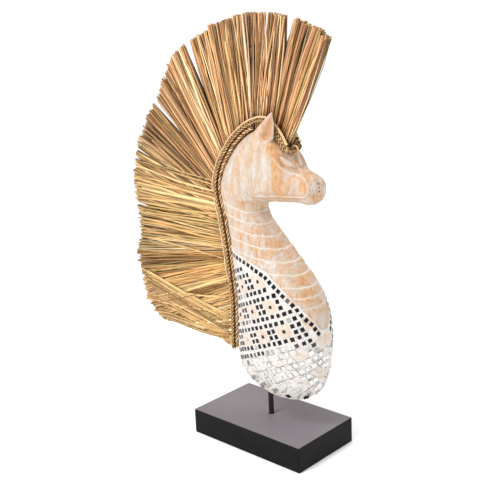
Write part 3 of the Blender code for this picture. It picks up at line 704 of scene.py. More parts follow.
def makeTiles(material, table):
    # each tile is a plate with a bevelled rim: three rings of four corners and a closed back
    random = np.random.default_rng(11)
    position, angle, ahead, scale = tilePlaces(table)
    point, normal, _, _ = bodyFrame(position, angle)
    count = len(point)
    # pale: how much of the table's pale painted reflection each tile's colour takes
    low = paleZone(point[:, 0], point[:, 2])
    blend = mosaic["paleBlend"]
    pale = ease(-blend, blend, low + random.normal(0, blend, count))
    foot = (point[:, 2] < mosaic["footTop"]) & (point[:, 0] > mosaic["footFront"])
    # tiles near the back, and a few others, take some of the pale painted reflection at random
    nearBack = arcLength(position, angle, table) < mosaic["wornArc"]
    worn = random.uniform(0, 1, count) < np.where(nearBack, 0.45, 0.06)
    pale = np.where(foot, 0.0, np.maximum(pale, np.where(worn, random.uniform(0.2, 0.9, count), 0)))
    scale = scale * (1 + 0.22 * ease(0.0, 0.006, low))
    ahead = unit(ahead - normal * np.sum(ahead * normal, -1, keepdims=True))
    beside = np.cross(normal, ahead)
    twist = random.normal(0, 0.07, count)[:, None]
    turned = ahead * np.cos(twist) + beside * np.sin(twist)
    beside = beside * np.cos(twist) - ahead * np.sin(twist)
    ahead = turned
    tilt = random.normal(0, 0.03, (count, 2))
    halfAhead = mosaic["tile"] / 2 * scale * random.uniform(0.88, 1.06, count)
    halfBeside = mosaic["tile"] / 2 * scale * random.uniform(0.88, 1.06, count)
    corners = np.array([(-1, -1), (1, -1), (1, 1), (-1, 1)], float)
    cut = 1 + random.uniform(-0.09, 0.09, (count, 4, 2))
    levels = [(-mosaic["tileDepth"], 1.0), (mosaic["tileProud"] * 0.55, 1.0), (mosaic["tileProud"], 0.88)]
    rings = []
    shades = []
    lift = point + normal * mosaic["proud"]
    for height, share in levels:
        a = corners[None, :, 0] * cut[..., 0] * halfAhead[:, None] * share
        b = corners[None, :, 1] * cut[..., 1] * halfBeside[:, None] * share
        rise = height - (a * tilt[:, :1] + b * tilt[:, 1:])
        ring = (lift[:, None] + ahead[:, None] * a[..., None] + beside[:, None] * b[..., None]
                + normal[:, None] * rise[..., None])
        rings.append(ring)
        shades.append(np.full((count, 4), 0.0 if share == 1.0 else 1.0))
    points = np.stack(rings, 1).reshape(count, 12, 3)
    shade = np.stack(shades, 1).reshape(count, 12)
    block = np.array([(3, 2, 1, 0), (8, 9, 10, 11)]
                     + [(r * 4 + k, r * 4 + (k + 1) % 4, r * 4 + 4 + (k + 1) % 4, r * 4 + 4 + k)
                        for r in range(2) for k in range(4)])
    quads = (block[None] + (np.arange(count) * 12)[:, None, None]).reshape(-1, 4)
    mirrored = points * [1, -1, 1]
    farQuads = quads[:, ::-1] + count * 12
    allPoints = np.vstack([points.reshape(-1, 3), mirrored.reshape(-1, 3)])
    attributes = {"face": np.tile(shade.ravel(), 2), "pale": np.tile(np.repeat(pale, 12), 2)}
    print("tiles", count * 2)
    return makePiece("mirror_tiles", allPoints, [quads, farQuads], material, attributes, smooth=False)


# Grass mane

maneForm = {
    "outline": [(120, 569), (104, 583), (60, 597), (16, 605), (-30, 604), (-66, 597), (-104, 581),
                (-150, 559), (-177, 534), (-200, 493), (-234, 454), (-256, 412), (-268, 365),
                (-266, 320), (-264, 282), (-274, 240), (-266, 190), (-250, 158), (-222, 136),
                (-178, 139), (-122, 139), (-66, 128)],
    "rootStart": 23.3,
    "rootEnd": 4.6,
    "rootAway": 0.0016,
    "halfThickness": 0.0081,
    "fanThickness": 0.0072,
    "tipInset": 0.0034,
    "fray": (0.0014, 0.0060),
    "shorter": 0.009,
    "bundleShorter": 0.013,
    "brokenShare": 0.05,
    "brokenOff": (0.05, 0.30),
    "bow": 0.0022,
    "doubleBow": 0.0011,
    "drift": 0.0005,
    "halfThick": (0.00035, 0.00075),
    # half widths of the stalks
    "thin": (0.0006, 0.0011),
    "middling": (0.0011, 0.0021),
    "broad": (0.0021, 0.0034),
    "strayShare": 0.45,
    "stray": 0.017,
    "stalks": 3000,
    "bundles": 54,
    "bends": 4,
    "sides": 5,
    # place along the outline and half width of each slit between bundles, as shares of the outline
    "slits": [(0.095, 0.0080), (0.138, 0.0030), (0.190, 0.0018), (0.250, 0.0016),
              (0.315, 0.0062), (0.372, 0.0020), (0.443, 0.0048), (0.530, 0.0018),
              (0.620, 0.0020), (0.668, 0.0012), (0.720, 0.0010), (0.860, 0.0012)],
    "slitReach": 0.011,
    # shift of a slit from the near face to the far one, in x and in z for each unit of y
    "slitLean": (-0.96, -0.36),
    # crossing stalks: first and last root, first and last tip, x and z in mm, number and half width
    "crossings": [
        ((-69, 178), (-72, 142), (-264, 218), (-250, 190), 24, 0.0019),
        ((-70, 150), (-74, 138), (-244, 190), (-226, 160), 14, 0.0016),
        ((-66, 246), (-66, 241), (-257, 188), (-258, 184), 2, 0.0017),
        ((-74, 206), (-74, 200), (-228, 174), (-240, 172), 2, 0.0015),
        ((-84, 180), (-84, 176), (-268, 171), (-262, 163), 3, 0.0017),
        ((-72, 148), (-76, 136), (-247, 150), (-205, 140), 12, 0.0014),
        ((-66, 330), (-64, 290), (-264, 318), (-266, 296), 8, 0.0014),
        ((-64, 349), (-66, 327), (-266, 374), (-267, 324), 15, 0.0034),
        ((-62, 368), (-64, 350), (-260, 396), (-265, 376), 6, 0.0024),
    ],
}


def rootPoint(position, away):
    # point off the back line of the carving, in the plane Y = 0
    small = 0.05
    table = np.array(horseForm["sections"])[:, 2:4] * mm
    back = smoothRows(table, position)
    along = unit(smoothRows(table, position + small) - smoothRows(table, position - small))
    out = back + np.stack([-along[..., 1], along[..., 0]], -1) * np.asarray(away)[..., None]
    return np.stack([out[..., 0], np.zeros(out.shape[:-1]), out[..., 1]], -1)


def maneOutline(share):
    row = smoothRows(maneForm["outline"], np.clip(share, 0, 1) * (len(maneForm["outline"]) - 1)) * mm
    return np.stack([row[..., 0], np.zeros(row.shape[:-1]), row[..., 1]], -1)


def openSlits(share, tipShare, beside):
    # stalks keep to their own side of each slit, and stand off from it the more the nearer they are; a slit
    # leans through the thickness of the mane by the part of slitLean that runs along the outline
    moved = tipShare
    lean = np.array(maneForm["slitLean"])
    for middle, width in maneForm["slits"]:
        tangent = (maneOutline(np.array(middle + 0.01)) - maneOutline(np.array(middle - 0.01)))[[0, 2]] / 0.02
        spot = middle + beside * (tangent @ lean) / (tangent @ tangent)
        side = np.sign(share - spot)
        gap = np.maximum((moved - spot) * side, 0.0002)
        moved = spot + side * (gap + width * np.exp(-gap / maneForm["slitReach"]))
    return moved


def bundleValues(random, share):
    # bundles of uneven width: low end and width of each stalk's bundle, and random values its stalks share
    widths = random.uniform(0.4, 1.6, maneForm["bundles"])
    edges = np.concatenate([[0], np.cumsum(widths)]) / widths.sum()
    index = np.clip(np.searchsorted(edges, share, side="right") - 1, 0, maneForm["bundles"] - 1)
    own = random.normal(0, 1, (3, maneForm["bundles"]))[:, index]
    return edges[index], edges[index + 1] - edges[index], own


def stalkLines(root, tip, single, double, steps):
    # from root to tip with a slight bow and a slighter double bend in the plane of the mane
    t = np.linspace(0, 1, steps)[None, :]
    direction = unit(tip - root)
    inPlane = unit(np.stack([-direction[:, 2], np.zeros(len(root)), direction[:, 0]], -1))
    lines = root[:, None] * (1 - t[..., None]) + tip[:, None] * t[..., None]
    bow = np.sin(t * math.pi) * single[:, None] + np.sin(t * fullTurn) * double[:, None]
    return lines + inPlane[:, None] * bow[..., None], inPlane, t


def fanStalks(random):
    form = maneForm
    count = form["stalks"]
    share = np.sort((np.arange(count) + random.uniform(0, 1, count)) / count)
    layer = random.permutation(np.linspace(-1, 1, count))
    low, width, own = bundleValues(random, share)
    local = (share - low) / width
    fray = form["fray"][0] + form["fray"][1] * ease(0.62, 0.90, share)
    tipShare = low + (0.5 + (local - 0.5) * 0.88) * width + own[0] * 0.0010
    tipShare += random.normal(0, 1, count) * fray
    beside = layer * form["fanThickness"]
    tipShare = np.clip(openSlits(share, np.clip(tipShare, 0.001, 0.999), beside), 0.0, 1.0)
    strays = random.uniform(0, 1, count) < form["strayShare"]
    strayed = np.where(strays, random.normal(0, form["stray"], count), 0)
    rootShare = np.clip(share + strayed * ease(0.02, 0.09, share) * ease(0.98, 0.91, share), 0, 1)
    root = rootPoint(form["rootStart"] + (form["rootEnd"] - form["rootStart"]) * rootShare, form["rootAway"])
    tip = maneOutline(tipShare)
    short = np.abs(random.normal(0, form["shorter"], count)) + form["bundleShorter"] * np.abs(own[1])
    broken = random.uniform(0, 1, count) < form["brokenShare"]
    short = np.where(broken, random.uniform(*form["brokenOff"], count), short)
    length = np.linalg.norm(tip - root, axis=1)
    tip = root + (tip - root) * (1 - short - form["tipInset"] / length)[:, None]
    kind = random.uniform(0, 1, count)
    # thin, middling and wide stalks
    thin, middling, broad = [random.uniform(*form[word], count) for word in ("thin", "middling", "broad")]
    halfWide = np.where(kind < 0.30, thin, np.where(kind > 0.80, broad, middling))
    tone = np.clip(0.08 + 0.86 * random.uniform(0, 1, count) + 0.12 * own[2], 0, 1)
    return share, layer * form["fanThickness"] / form["halfThickness"], root, tip, halfWide, tone


def crossingStalks(random):
    # stalks that lie across their neighbours, on both faces of the mane
    blocks = []
    for rootOne, rootTwo, tipOne, tipTwo, count, width in maneForm["crossings"]:
        for side in (-1, 1):
            t = (np.arange(count) + random.uniform(0.2, 0.8, count)) / count
            spot = t[:, None]
            root = (np.array(rootOne) * (1 - spot) + np.array(rootTwo) * spot) * mm
            tip = (np.array(tipOne) * (1 - spot) + np.array(tipTwo) * spot) * mm
            tip = root + (tip - root) * random.uniform(0.86, 0.985, (count, 1))
            # about the place along the outline, from the tip's bearing
            bearing = np.arctan2(tip[:, 1] - 0.33, -tip[:, 0])
            share = np.clip((math.pi - bearing) / (1.25 * math.pi) + 0.1, 0, 1)
            lift = np.full(count, float(side)) * random.uniform(0.93, 1.0, count)
            flat = np.zeros(count)
            blocks.append((share, lift, np.stack([root[:, 0], flat, root[:, 1]], -1),
                           np.stack([tip[:, 0], flat, tip[:, 1]], -1),
                           width * random.uniform(0.55, 1.15, count), random.uniform(0.30, 0.74, count)))
    return [np.concatenate(values) for values in zip(*blocks)]


def makeMane(material):
    random = np.random.default_rng(5)
    form = maneForm
    kinds = zip(fanStalks(random), crossingStalks(random))
    share, layer, root, tip, halfWide, tone = [np.concatenate(pair) for pair in kinds]
    count = len(share)
    surface = np.abs(layer) ** 0.8
    steps = form["bends"] + 1
    bow = random.normal(0, form["bow"], count)
    lines, inPlane, t = stalkLines(root, tip, bow, random.normal(0, form["doubleBow"], count), steps)
    spread = form["halfThickness"] * (0.95 + 0.05 * t)
    drift = random.normal(0, form["drift"], count)[:, None] * np.sin(t * math.pi)
    limit = form["halfThickness"] - 0.0001
    lines[..., 1] = np.clip(layer[:, None] * spread + drift, -limit, limit)
    halfThick = np.clip(halfWide * random.uniform(0.28, 0.7, count), *form["halfThick"])
    taper = 0.55 + 0.45 * ease(0, 0.35, t)
    ends = 1 - 0.22 * ease(0.8, 1.0, t)
    wide = halfWide[:, None] * taper * ends
    thick = halfThick[:, None] * taper
    tilt = random.normal(0, 0.50, count) + 0.20
    side = inPlane * np.cos(tilt)[:, None] + np.array([0, 1, 0]) * np.sin(tilt)[:, None]
    points, faces = tubes(lines, np.repeat(side[:, None], steps, 1), wide, thick, form["sides"])
    length = np.linalg.norm(tip - root, axis=1)
    perTube = steps * form["sides"]
    run = np.repeat(t * length[:, None], form["sides"], axis=1).ravel()
    # the outer layers, the tips and the two end faces of the mane lie in the light
    ending = np.maximum(ease(0.022, 0.008, share), ease(0.985, 0.995, share))
    lit = np.maximum(np.maximum(surface, ending)[:, None], 0.68 * ease(0.88, 1.0, t))
    # place round each stalk, from which the material paints light on one side and shade on the other
    rim = np.tile(np.cos(np.arange(form["sides"]) / form["sides"] * fullTurn), count * steps)
    attributes = {"tone": np.repeat(tone, perTube), "tint": np.repeat(random.uniform(0, 1, count), perTube),
                  "paintedLight": np.repeat(lit, form["sides"], axis=1).ravel(), "run": run,
                  "place": np.repeat(share, perTube), "rim": rim * 0.5 + 0.5}
    print("stalks", count)
    return makePiece("mane_stalks", points, faces, material, attributes)


# Cords

cords = {
    "braidRadius": 0.0037,
    "edgeRadius": 0.0021,
    "gap": 0.0003,
    "period": 0.0165,
    "samples": 20,
    "fibres": 3,
    "swing": 0.0021,
    "dip": 0.0014,
    "edgePitch": 0.0125,
    "bindingRadius": 0.0008,
    "bindingPitch": 0.0013,
    "bindings": [(15.2, 20.6), (20.4, 23.2), (8.5, 14.6)],
    "corner": 0.0050,
    "maneHalf": 0.0082,
    "pollLift": 0.0048,
}


def evenPath(points, spacing):
    steps = np.linalg.norm(np.diff(points, axis=0), axis=1)
    lengths = np.concatenate([[0], np.cumsum(steps)])
    wanted = np.linspace(0, lengths[-1], int(lengths[-1] / spacing) + 1)
    return np.stack([np.interp(wanted, lengths, points[:, k]) for k in range(3)], -1), wanted


def pollLift(position):
    # the plait stands a little further off the wood where it passes the ears
    return cords["pollLift"] * bump(position - 21.4, 1.0)


def sidePath(away, beside, start, end, lifted=False):
    position = np.linspace(start, end, 160)
    path = rootPoint(position, away + pollLift(position) * lifted)
    path[:, 1] = -beside
    return path


def hairpin(away, beside, start, end, lifted=False):
    # up the near side, straight across the mane's front edge between two round corners, and down the far side
    near = sidePath(away, beside, start, end, lifted)
    forward = unit(near[-1] - near[-2])
    turn = np.linspace(0, math.pi / 2, 14)[1:, None]
    corner = near[-1] + cords["corner"] * (forward * np.sin(turn) + np.array([0, 1, 0]) * (1 - np.cos(turn)))
    near = np.vstack([near, corner])
    return np.vstack([near, near[::-1] * [1, -1, 1]])


def pathFrame(path):
    # directions across a cord: away from the carving, and level with it
    along = unit(np.gradient(path, axis=0))
    outward = np.stack([-along[:, 2], np.zeros(len(path)), along[:, 0]], -1)
    outward = np.where(path[:, 1:2] > 0, -outward, outward)
    weight = np.clip(np.abs(path[:, 1:2]) / 0.011, 0, 1)
    level = unit(np.array([0.62, 0, 0.78]) * (1 - weight) + unit(outward + 1e-9) * weight)
    level = unit(level - along * np.sum(level * along, -1, keepdims=True))
    return level, np.cross(along, level)


def besideMane(radius):
    # how far a cord's middle lies from the plane of the mane
    return cords["maneHalf"] + radius + cords["gap"]


def braidPath():
    # outside the edge cord
    away = mosaic["proud"] + 2 * cords["edgeRadius"] + cords["braidRadius"] + 2 * cords["gap"]
    start = maneForm["rootEnd"] + 0.1
    path = hairpin(away, besideMane(cords["braidRadius"]), start, maneForm["rootStart"], lifted=True)
    return evenPath(path, cords["period"] / cords["samples"])


def lowerBraidPath():
    # the plait's other end, which lies between it and the forehead in front of the ears
    away = mosaic["proud"] + cords["braidRadius"] + cords["gap"]
    path = hairpin(away, besideMane(cords["braidRadius"]), 21.2, maneForm["rootStart"] - 0.05)
    return evenPath(path, cords["period"] / cords["samples"])


def makeBraid(material, name, path, length):
    # three strands that swing across the cord a third of a period apart, each of a few twisted fibres
    form = cords
    level, across = pathFrame(path)
    phase = length / form["period"] * fullTurn
    random = np.random.default_rng(21)
    fibreRadius = (form["braidRadius"] - form["swing"]) * 0.46
    lines = []
    sides = []
    radii = []
    tones = []
    middles = []
    for strand in range(3):
        angle = phase + strand * fullTurn / 3
        middle = (path + level * (form["swing"] * np.sin(angle))[:, None]
                  + across * (form["dip"] * np.sin(2 * angle))[:, None])
        middleAlong = unit(np.gradient(middle, axis=0))
        flat = unit(level - middleAlong * np.sum(level * middleAlong, -1, keepdims=True))
        rise = np.cross(middleAlong, flat)
        for fibre in range(form["fibres"]):
            turn = phase * 0.35 + fibre * fullTurn / form["fibres"] + strand
            loose = 1 + 0.10 * wave(length * 300, fibre + strand * 5.0)
            lines.append(middle + flat * (fibreRadius * loose * np.cos(turn))[:, None]
                         + rise * (fibreRadius * loose * np.sin(turn))[:, None])
            middles.append(middle)
            sides.append(flat)
            radii.append(fibreRadius * (1.02 + 0.12 * wave(length * 170, fibre * 2.0 + strand)))
            tones.append(random.uniform(0, 0.5) + 0.22 * strand)
    lines = np.array(lines)
    wide = np.array(radii)
    sidesOfTube = 6
    points, faces = tubes(lines, np.array(sides), wide, wide, sidesOfTube)
    facing = np.repeat(np.tile(across, (len(lines), 1)), sidesOfTube, axis=0)
    strandMiddle = np.repeat(np.concatenate(middles), sidesOfTube, axis=0)
    cordMiddle = np.repeat(np.tile(path, (len(lines), 1)), sidesOfTube, axis=0)
    # painted shade: darker where a fibre turns down towards its strand's middle, and on the strand that
    # passes under
    above = np.sum((points - strandMiddle) * facing, axis=1)
    over = np.sum((strandMiddle - cordMiddle) * facing, axis=1) * np.sign(above)
    out = ease(0.0003, 0.0012, np.abs(above)) * (0.25 + 0.75 * ease(-0.0012, 0.0006, over))
    attributes = {"tone": np.repeat(np.array(tones), lines.shape[1] * sidesOfTube),
                  "run": np.tile(np.repeat(length, sidesOfTube), len(lines)), "out": out}
    return makePiece(name, points, faces, material, attributes)


def makeBindings(material):
    # thin pale stalks that lie along the outer side of the plait and hold it to the mane
    form = cords
    beside = besideMane(form["braidRadius"])
    away = mosaic["proud"] + 2 * form["edgeRadius"] + 2 * form["braidRadius"] + 2 * form["gap"]
    lines = []
    for first, last in form["bindings"]:
        for lift in (0.0, form["bindingPitch"]):
            position = np.linspace(first, last, 60)
            path = rootPoint(position, away + form["gap"] - lift * 0.6 + pollLift(position))
            path[:, 1] = -beside - form["braidRadius"] * 0.45 - lift + 0.0004 * wave(position * 3, first)
            lines.append(path)
    lines = np.array(lines)
    lines = np.concatenate([lines, lines * [1, -1, 1]])
    radius = np.full(lines.shape[:2], form["bindingRadius"])
    side = np.tile(np.array([0.0, 1.0, 0.0]), (*lines.shape[:2], 1))
    points, faces = tubes(lines, side, radius * 0.8, radius, 6)
    count = len(points) // len(lines)
    run = np.tile(np.repeat(np.linspace(0, 0.2, 60), 6), len(lines))
    tone = np.repeat(np.linspace(0.8, 1.2, len(lines)), count)
    attributes = {"tone": tone, "run": run, "out": np.ones(len(points))}
    return makePiece("pale_bindings", points, faces, material, attributes)


def makeEdgeCords(material):
    # two plies that wind round each other beside the wood, on both sides
    form = cords
    away = form["edgeRadius"] + mosaic["proud"]
    near = sidePath(away, besideMane(form["edgeRadius"]), maneForm["rootEnd"] + 0.2, 20.3)
    pieces = []
    for word, mirror in (("near", 1), ("far", -1)):
        path, length = evenPath(near * [1, mirror, 1], form["edgePitch"] / 12)
        level, across = pathFrame(path)
        phase = length / form["edgePitch"] * fullTurn
        radius = form["edgeRadius"] * 0.50
        turn = phase + np.array([[0], [math.pi]])
        swing = np.cos(turn)[..., None] * level + np.sin(turn)[..., None] * across
        lines = path + radius * swing
        wide = np.full(lines.shape[:2], radius)
        points, faces = tubes(lines, np.array([level, level]), wide, wide, 6)
        run = np.tile(np.repeat(length, 6), 2)
        tone = np.repeat(np.array([0.3, 0.8]), len(length) * 6)
        centre = np.repeat(np.tile(path, (2, 1)), 6, axis=0)
        # painted shade in the groove where the two plies meet
        reach = np.linalg.norm(points - centre, axis=1)
        attributes = {"tone": tone, "run": run, "out": ease(0.0009, 0.0019, reach)}
        pieces.append(makePiece(f"edge_twist_{word}", points, faces, material, attributes))
    return pieces


# Materials

class Nodes:
    # short calls for adding nodes and joining them
    def __init__(self, tree):
        self.tree = tree

    def add(self, kind, inputs=None, **settings):
        node = self.tree.nodes.new(kind)
        for key, value in settings.items():
            setattr(node, key, value)
        for key, value in (inputs or {}).items():
            self.feed(node.inputs[key], value)
        return node

    def feed(self, socket, value):
        if isinstance(value, bpy.types.NodeSocket):
            self.tree.links.new(value, socket)
        else:
            socket.default_value = value

    def math(self, operation, first, second=0.0):
        return self.add("ShaderNodeMath", {0: first, 1: second}, operation=operation).outputs[0]

    def plus(self, first, second):
        return self.math("ADD", first, second)

    def minus(self, first, second):
        return self.math("SUBTRACT", first, second)

    def times(self, first, second):
        return self.math("MULTIPLY", first, second)

    def mix(self, share, first, second, blend="MIX"):
        # inputs 6 and 7 of the node are its two colours, and output 2 is their mixture
        return self.add("ShaderNodeMix", {"Factor": share, 6: first, 7: second}, data_type="RGBA",
                        blend_type=blend).outputs[2]

    def shaded(self, colour, brightness):
        # the colour times a brightness
        channels = {key: brightness for key in ("Red", "Green", "Blue")}
        return self.mix(1.0, colour, self.add("ShaderNodeCombineColor", channels).outputs[0], "MULTIPLY")

    def ramp(self, value, low, high, steep="LINEAR"):
        # 0 at the low value and below it, 1 at the high one and above it
        return self.add("ShaderNodeMapRange", {"Value": value, "From Min": low, "From Max": high},
                        interpolation_type=steep).outputs["Result"]

    def noise(self, vector, scale, detail=4.0, rough=0.6, distort=0.0):
        return self.add("ShaderNodeTexNoise", {"Vector": vector, "Scale": scale, "Detail": detail,
                                               "Roughness": rough, "Distortion": distort}).outputs["Fac"]

    def noiseAlong(self, distance, detail, **key):
        # noise along a distance, with another pattern for each value of the key
        vector = self.add("ShaderNodeCombineXYZ", key).outputs[0]
        inputs = {"W": distance, "Detail": detail, "Scale": 1.0, "Vector": vector}
        return self.add("ShaderNodeTexNoise", inputs, noise_dimensions="4D").outputs["Fac"]

    def stretched(self, vector, upward):
        return self.add("ShaderNodeMapping", {"Vector": vector, "Scale": (1, 1, upward)}).outputs["Vector"]

    def place(self):
        return self.add("ShaderNodeTexCoord").outputs["Object"]

    def attribute(self, name):
        return self.add("ShaderNodeAttribute", attribute_name=name).outputs["Fac"]

    def ramped(self, value, stops):
        # colours at the stops, mixed between them; a new ramp has two stops, of which one stays
        node = self.add("ShaderNodeValToRGB", {"Fac": value})
        elements = node.color_ramp.elements
        elements.remove(elements[-1])
        elements[0].position = stops[0][0]
        elements[0].color = (*stops[0][1], 1)
        for place, colour in stops[1:]:
            elements.new(place).color = (*colour, 1)
        return node.outputs["Color"]


def newMaterial(name):
    material = bpy.data.materials.new(name)
    material.use_nodes = True
    return material, Nodes(material.node_tree)


def finished(material, nodes, colour, roughness, specular=0.5, metallic=0.0, relief=None):
    # gives the shader its values, and a bump where relief holds a height, its strength and its distance
    shader = material.node_tree.nodes["Principled BSDF"]
    nodes.feed(shader.inputs["Base Color"], colour)
    nodes.feed(shader.inputs["Roughness"], roughness)
    shader.inputs["Specular IOR Level"].default_value = specular
    shader.inputs["Metallic"].default_value = metallic
    if relief:
        node = nodes.add("ShaderNodeBump", dict(zip(("Height", "Strength", "Distance"), relief)))
        nodes.feed(shader.inputs["Normal"], node.outputs["Normal"])
    return material


def grainGroup():
    # long wood fibres and short pores, stretched along Z
    group = bpy.data.node_groups.new("wood_fibres", "ShaderNodeTree")
    group.interface.new_socket("Vector", in_out="INPUT", socket_type="NodeSocketVector")
    for label in ("Fibres", "Pores"):
        group.interface.new_socket(label, in_out="OUTPUT", socket_type="NodeSocketFloat")
    nodes = Nodes(group)
    vector = nodes.add("NodeGroupInput").outputs["Vector"]
    fibres = nodes.noise(nodes.stretched(vector, 0.10), 260, 5, 0.65, 0.6)
    pores = nodes.noise(nodes.stretched(vector, 0.05), 900, 2, 0.5)
    nodes.add("NodeGroupOutput", {"Fibres": fibres, "Pores": pores})
    return group


def limedWood(grain):
    material, nodes = newMaterial("limed_wood")
    spot = nodes.place()
    fibres = nodes.add("ShaderNodeGroup", {"Vector": spot}, node_tree=grain).outputs
    wash = nodes.noise(nodes.stretched(spot, 0.36), 62, 6, 0.66, 0.6)
    fine = nodes.noise(nodes.stretched(spot, 0.30), 240, 4, 0.65)
    streak = nodes.noise(nodes.stretched(spot, 0.16), 140, 4, 0.6, 0.4)
    line = nodes.attribute("line")
    worn = nodes.plus(wash, nodes.times(nodes.attribute("bare"), 0.24))
    worn = nodes.plus(worn, nodes.times(nodes.minus(fine, 0.5), 0.50))
    worn = nodes.minus(worn, nodes.times(line, 0.35))
    cover = nodes.ramp(worn, 0.38, 0.80, "SMOOTHSTEP")
    wood = nodes.ramped(fibres["Fibres"], [(0.30, (0.38, 0.18, 0.075)), (0.48, (0.54, 0.28, 0.125)),
                                           (0.70, (0.62, 0.39, 0.21))])
    lime = nodes.ramped(streak, [(0.34, (0.46, 0.36, 0.26)), (0.44, (0.52, 0.43, 0.35)),
                                 (0.54, (0.54, 0.48, 0.43)), (0.68, (0.59, 0.57, 0.56))])
    colour = nodes.mix(cover, lime, wood)
    yellowed = nodes.ramp(nodes.noise(spot, 85, 4, 0.6), 0.52, 0.66)
    colour = nodes.mix(nodes.times(yellowed, 0.45), colour, (0.52, 0.42, 0.26, 1))
    brushed = nodes.ramp(nodes.noise(nodes.stretched(spot, 0.45), 420, 3, 0.7), 0.34, 0.64)
    colour = nodes.shaded(colour, nodes.plus(0.84, nodes.times(brushed, 0.22)))
    # painted shade: a dark brown mixed into the creases and the ear hollows
    colour = nodes.mix(nodes.times(nodes.attribute("creaseShade"), 0.7), colour, (0.42, 0.22, 0.11, 1))
    colour = nodes.mix(nodes.times(line, 0.80), colour, (0.70, 0.62, 0.52, 1))
    colour = nodes.mix(nodes.times(nodes.attribute("eyeball"), 0.5), colour, (0.58, 0.50, 0.44, 1))
    # painted shade: the nostril holes are made nearly black
    colour = nodes.mix(nodes.ramp(nodes.attribute("hole"), 0.2, 0.6), colour, (0.05, 0.035, 0.03, 1))
    height = nodes.plus(nodes.times(fibres["Fibres"], 0.6), nodes.times(fibres["Pores"], 0.4))
    return finished(material, nodes, colour, nodes.ramp(cover, -0.5, 1.4), relief=(height, 0.35, 0.0006))


def latticeMask(nodes, arc, height):
    # distance from the nearest diamond's middle counted in cells, and distance from the nearest joint line
    ax, az = mosaic["across"]
    dx, dz = mosaic["down"]
    area = ax * dz - az * dx
    u = nodes.minus(arc, mosaic["origin"][0])
    v = nodes.minus(height, mosaic["origin"][1])
    p = nodes.plus(nodes.times(u, dz / area), nodes.times(v, -dx / area))
    q = nodes.plus(nodes.times(u, -az / area), nodes.times(v, ax / area))
    middles = []
    joints = []
    for value in (p, q):
        share = nodes.math("FRACT", nodes.plus(value, 20.5))
        middles.append(nodes.math("ABSOLUTE", nodes.minus(share, 0.5)))
        quarter = nodes.math("FRACT", nodes.plus(nodes.times(value, 4.0), 80.5))
        joints.append(nodes.math("ABSOLUTE", nodes.minus(quarter, 0.5)))
    return nodes.math("MAXIMUM", *middles), nodes.math("MINIMUM", *joints)


def groutMaterial(grain):
    # white plaster, with thin wood in the diamonds, and painted shade as dark broken lines at the joints in
    # the lower field, where the tiles carry the pale painted reflection
    material, nodes = newMaterial("white_grout")
    spot = nodes.place()
    height = nodes.add("ShaderNodeSeparateXYZ", {"Vector": spot}).outputs["Z"]
    ragged = nodes.times(nodes.minus(nodes.noise(spot, 380, 4), 0.5), 0.10)
    middle, joint = latticeMask(nodes, nodes.attribute("arc"), height)
    diamond = nodes.ramp(nodes.plus(middle, ragged), 0.29, 0.24, "SMOOTHSTEP")
    diamond = nodes.times(diamond, nodes.attribute("wooden"))
    patchy = nodes.ramp(nodes.noise(spot, 120, 5, 0.65), 0.36, 0.58)
    fibres = nodes.add("ShaderNodeGroup", {"Vector": spot}, node_tree=grain).outputs["Fibres"]
    wood = nodes.ramped(fibres, [(0.32, (0.52, 0.33, 0.20)), (0.6, (0.62, 0.47, 0.34))])
    plaster = nodes.ramped(nodes.noise(spot, 210, 6, 0.7), [
        (0.32, (0.45, 0.42, 0.38)), (0.45, (0.62, 0.585, 0.55)), (0.7, (0.73, 0.71, 0.69))])
    share = nodes.times(diamond, nodes.plus(0.22, nodes.times(patchy, 0.50)))
    colour = nodes.mix(share, plaster, wood)
    broken = nodes.ramp(nodes.noise(spot, 95, 3), 0.46, 0.54)
    # painted shade: dark broken lines between the tiles, only where they carry the pale painted reflection
    lines = nodes.times(nodes.ramp(joint, 0.075, 0.035), nodes.attribute("low"))
    colour = nodes.mix(nodes.times(lines, nodes.times(broken, 0.80)), colour, (0.10, 0.10, 0.10, 1))
    return finished(material, nodes, colour, 0.85, relief=(nodes.noise(spot, 520, 6, 0.7), 0.5, 0.0008))


def mirrorMaterial():
    # painted reflection: the mirrors above the widest part are coloured with the dark of the room, those
    # below it with the pale table
    material, nodes = newMaterial("mirror_tile")
    spot = nodes.place()
    smudge = nodes.noise(spot, 420, 3)
    dark = nodes.ramped(smudge, [(0.35, (0.010, 0.010, 0.011)), (0.62, (0.022, 0.022, 0.023)),
                                 (0.74, (0.09, 0.09, 0.09))])
    bright = nodes.ramped(smudge, [(0.35, (0.54, 0.53, 0.51)), (0.6, (0.74, 0.73, 0.71))])
    pale = nodes.attribute("pale")
    colour = nodes.mix(pale, dark, bright)
    broken = nodes.ramp(nodes.noise(spot, 130, 3), 0.44, 0.54)
    # painted shade: the sides of the tiles are darkened, all of them among the dark mirrors and in broken
    # patches among the pale ones
    rim = nodes.times(nodes.minus(1.0, nodes.attribute("face")),
                      nodes.math("MAXIMUM", broken, nodes.minus(1.0, pale)))
    colour = nodes.mix(nodes.times(rim, 0.72), colour, (0.09, 0.09, 0.09, 1))
    return finished(material, nodes, colour, nodes.ramp(smudge, 0.1, 2.2), metallic=0.9)


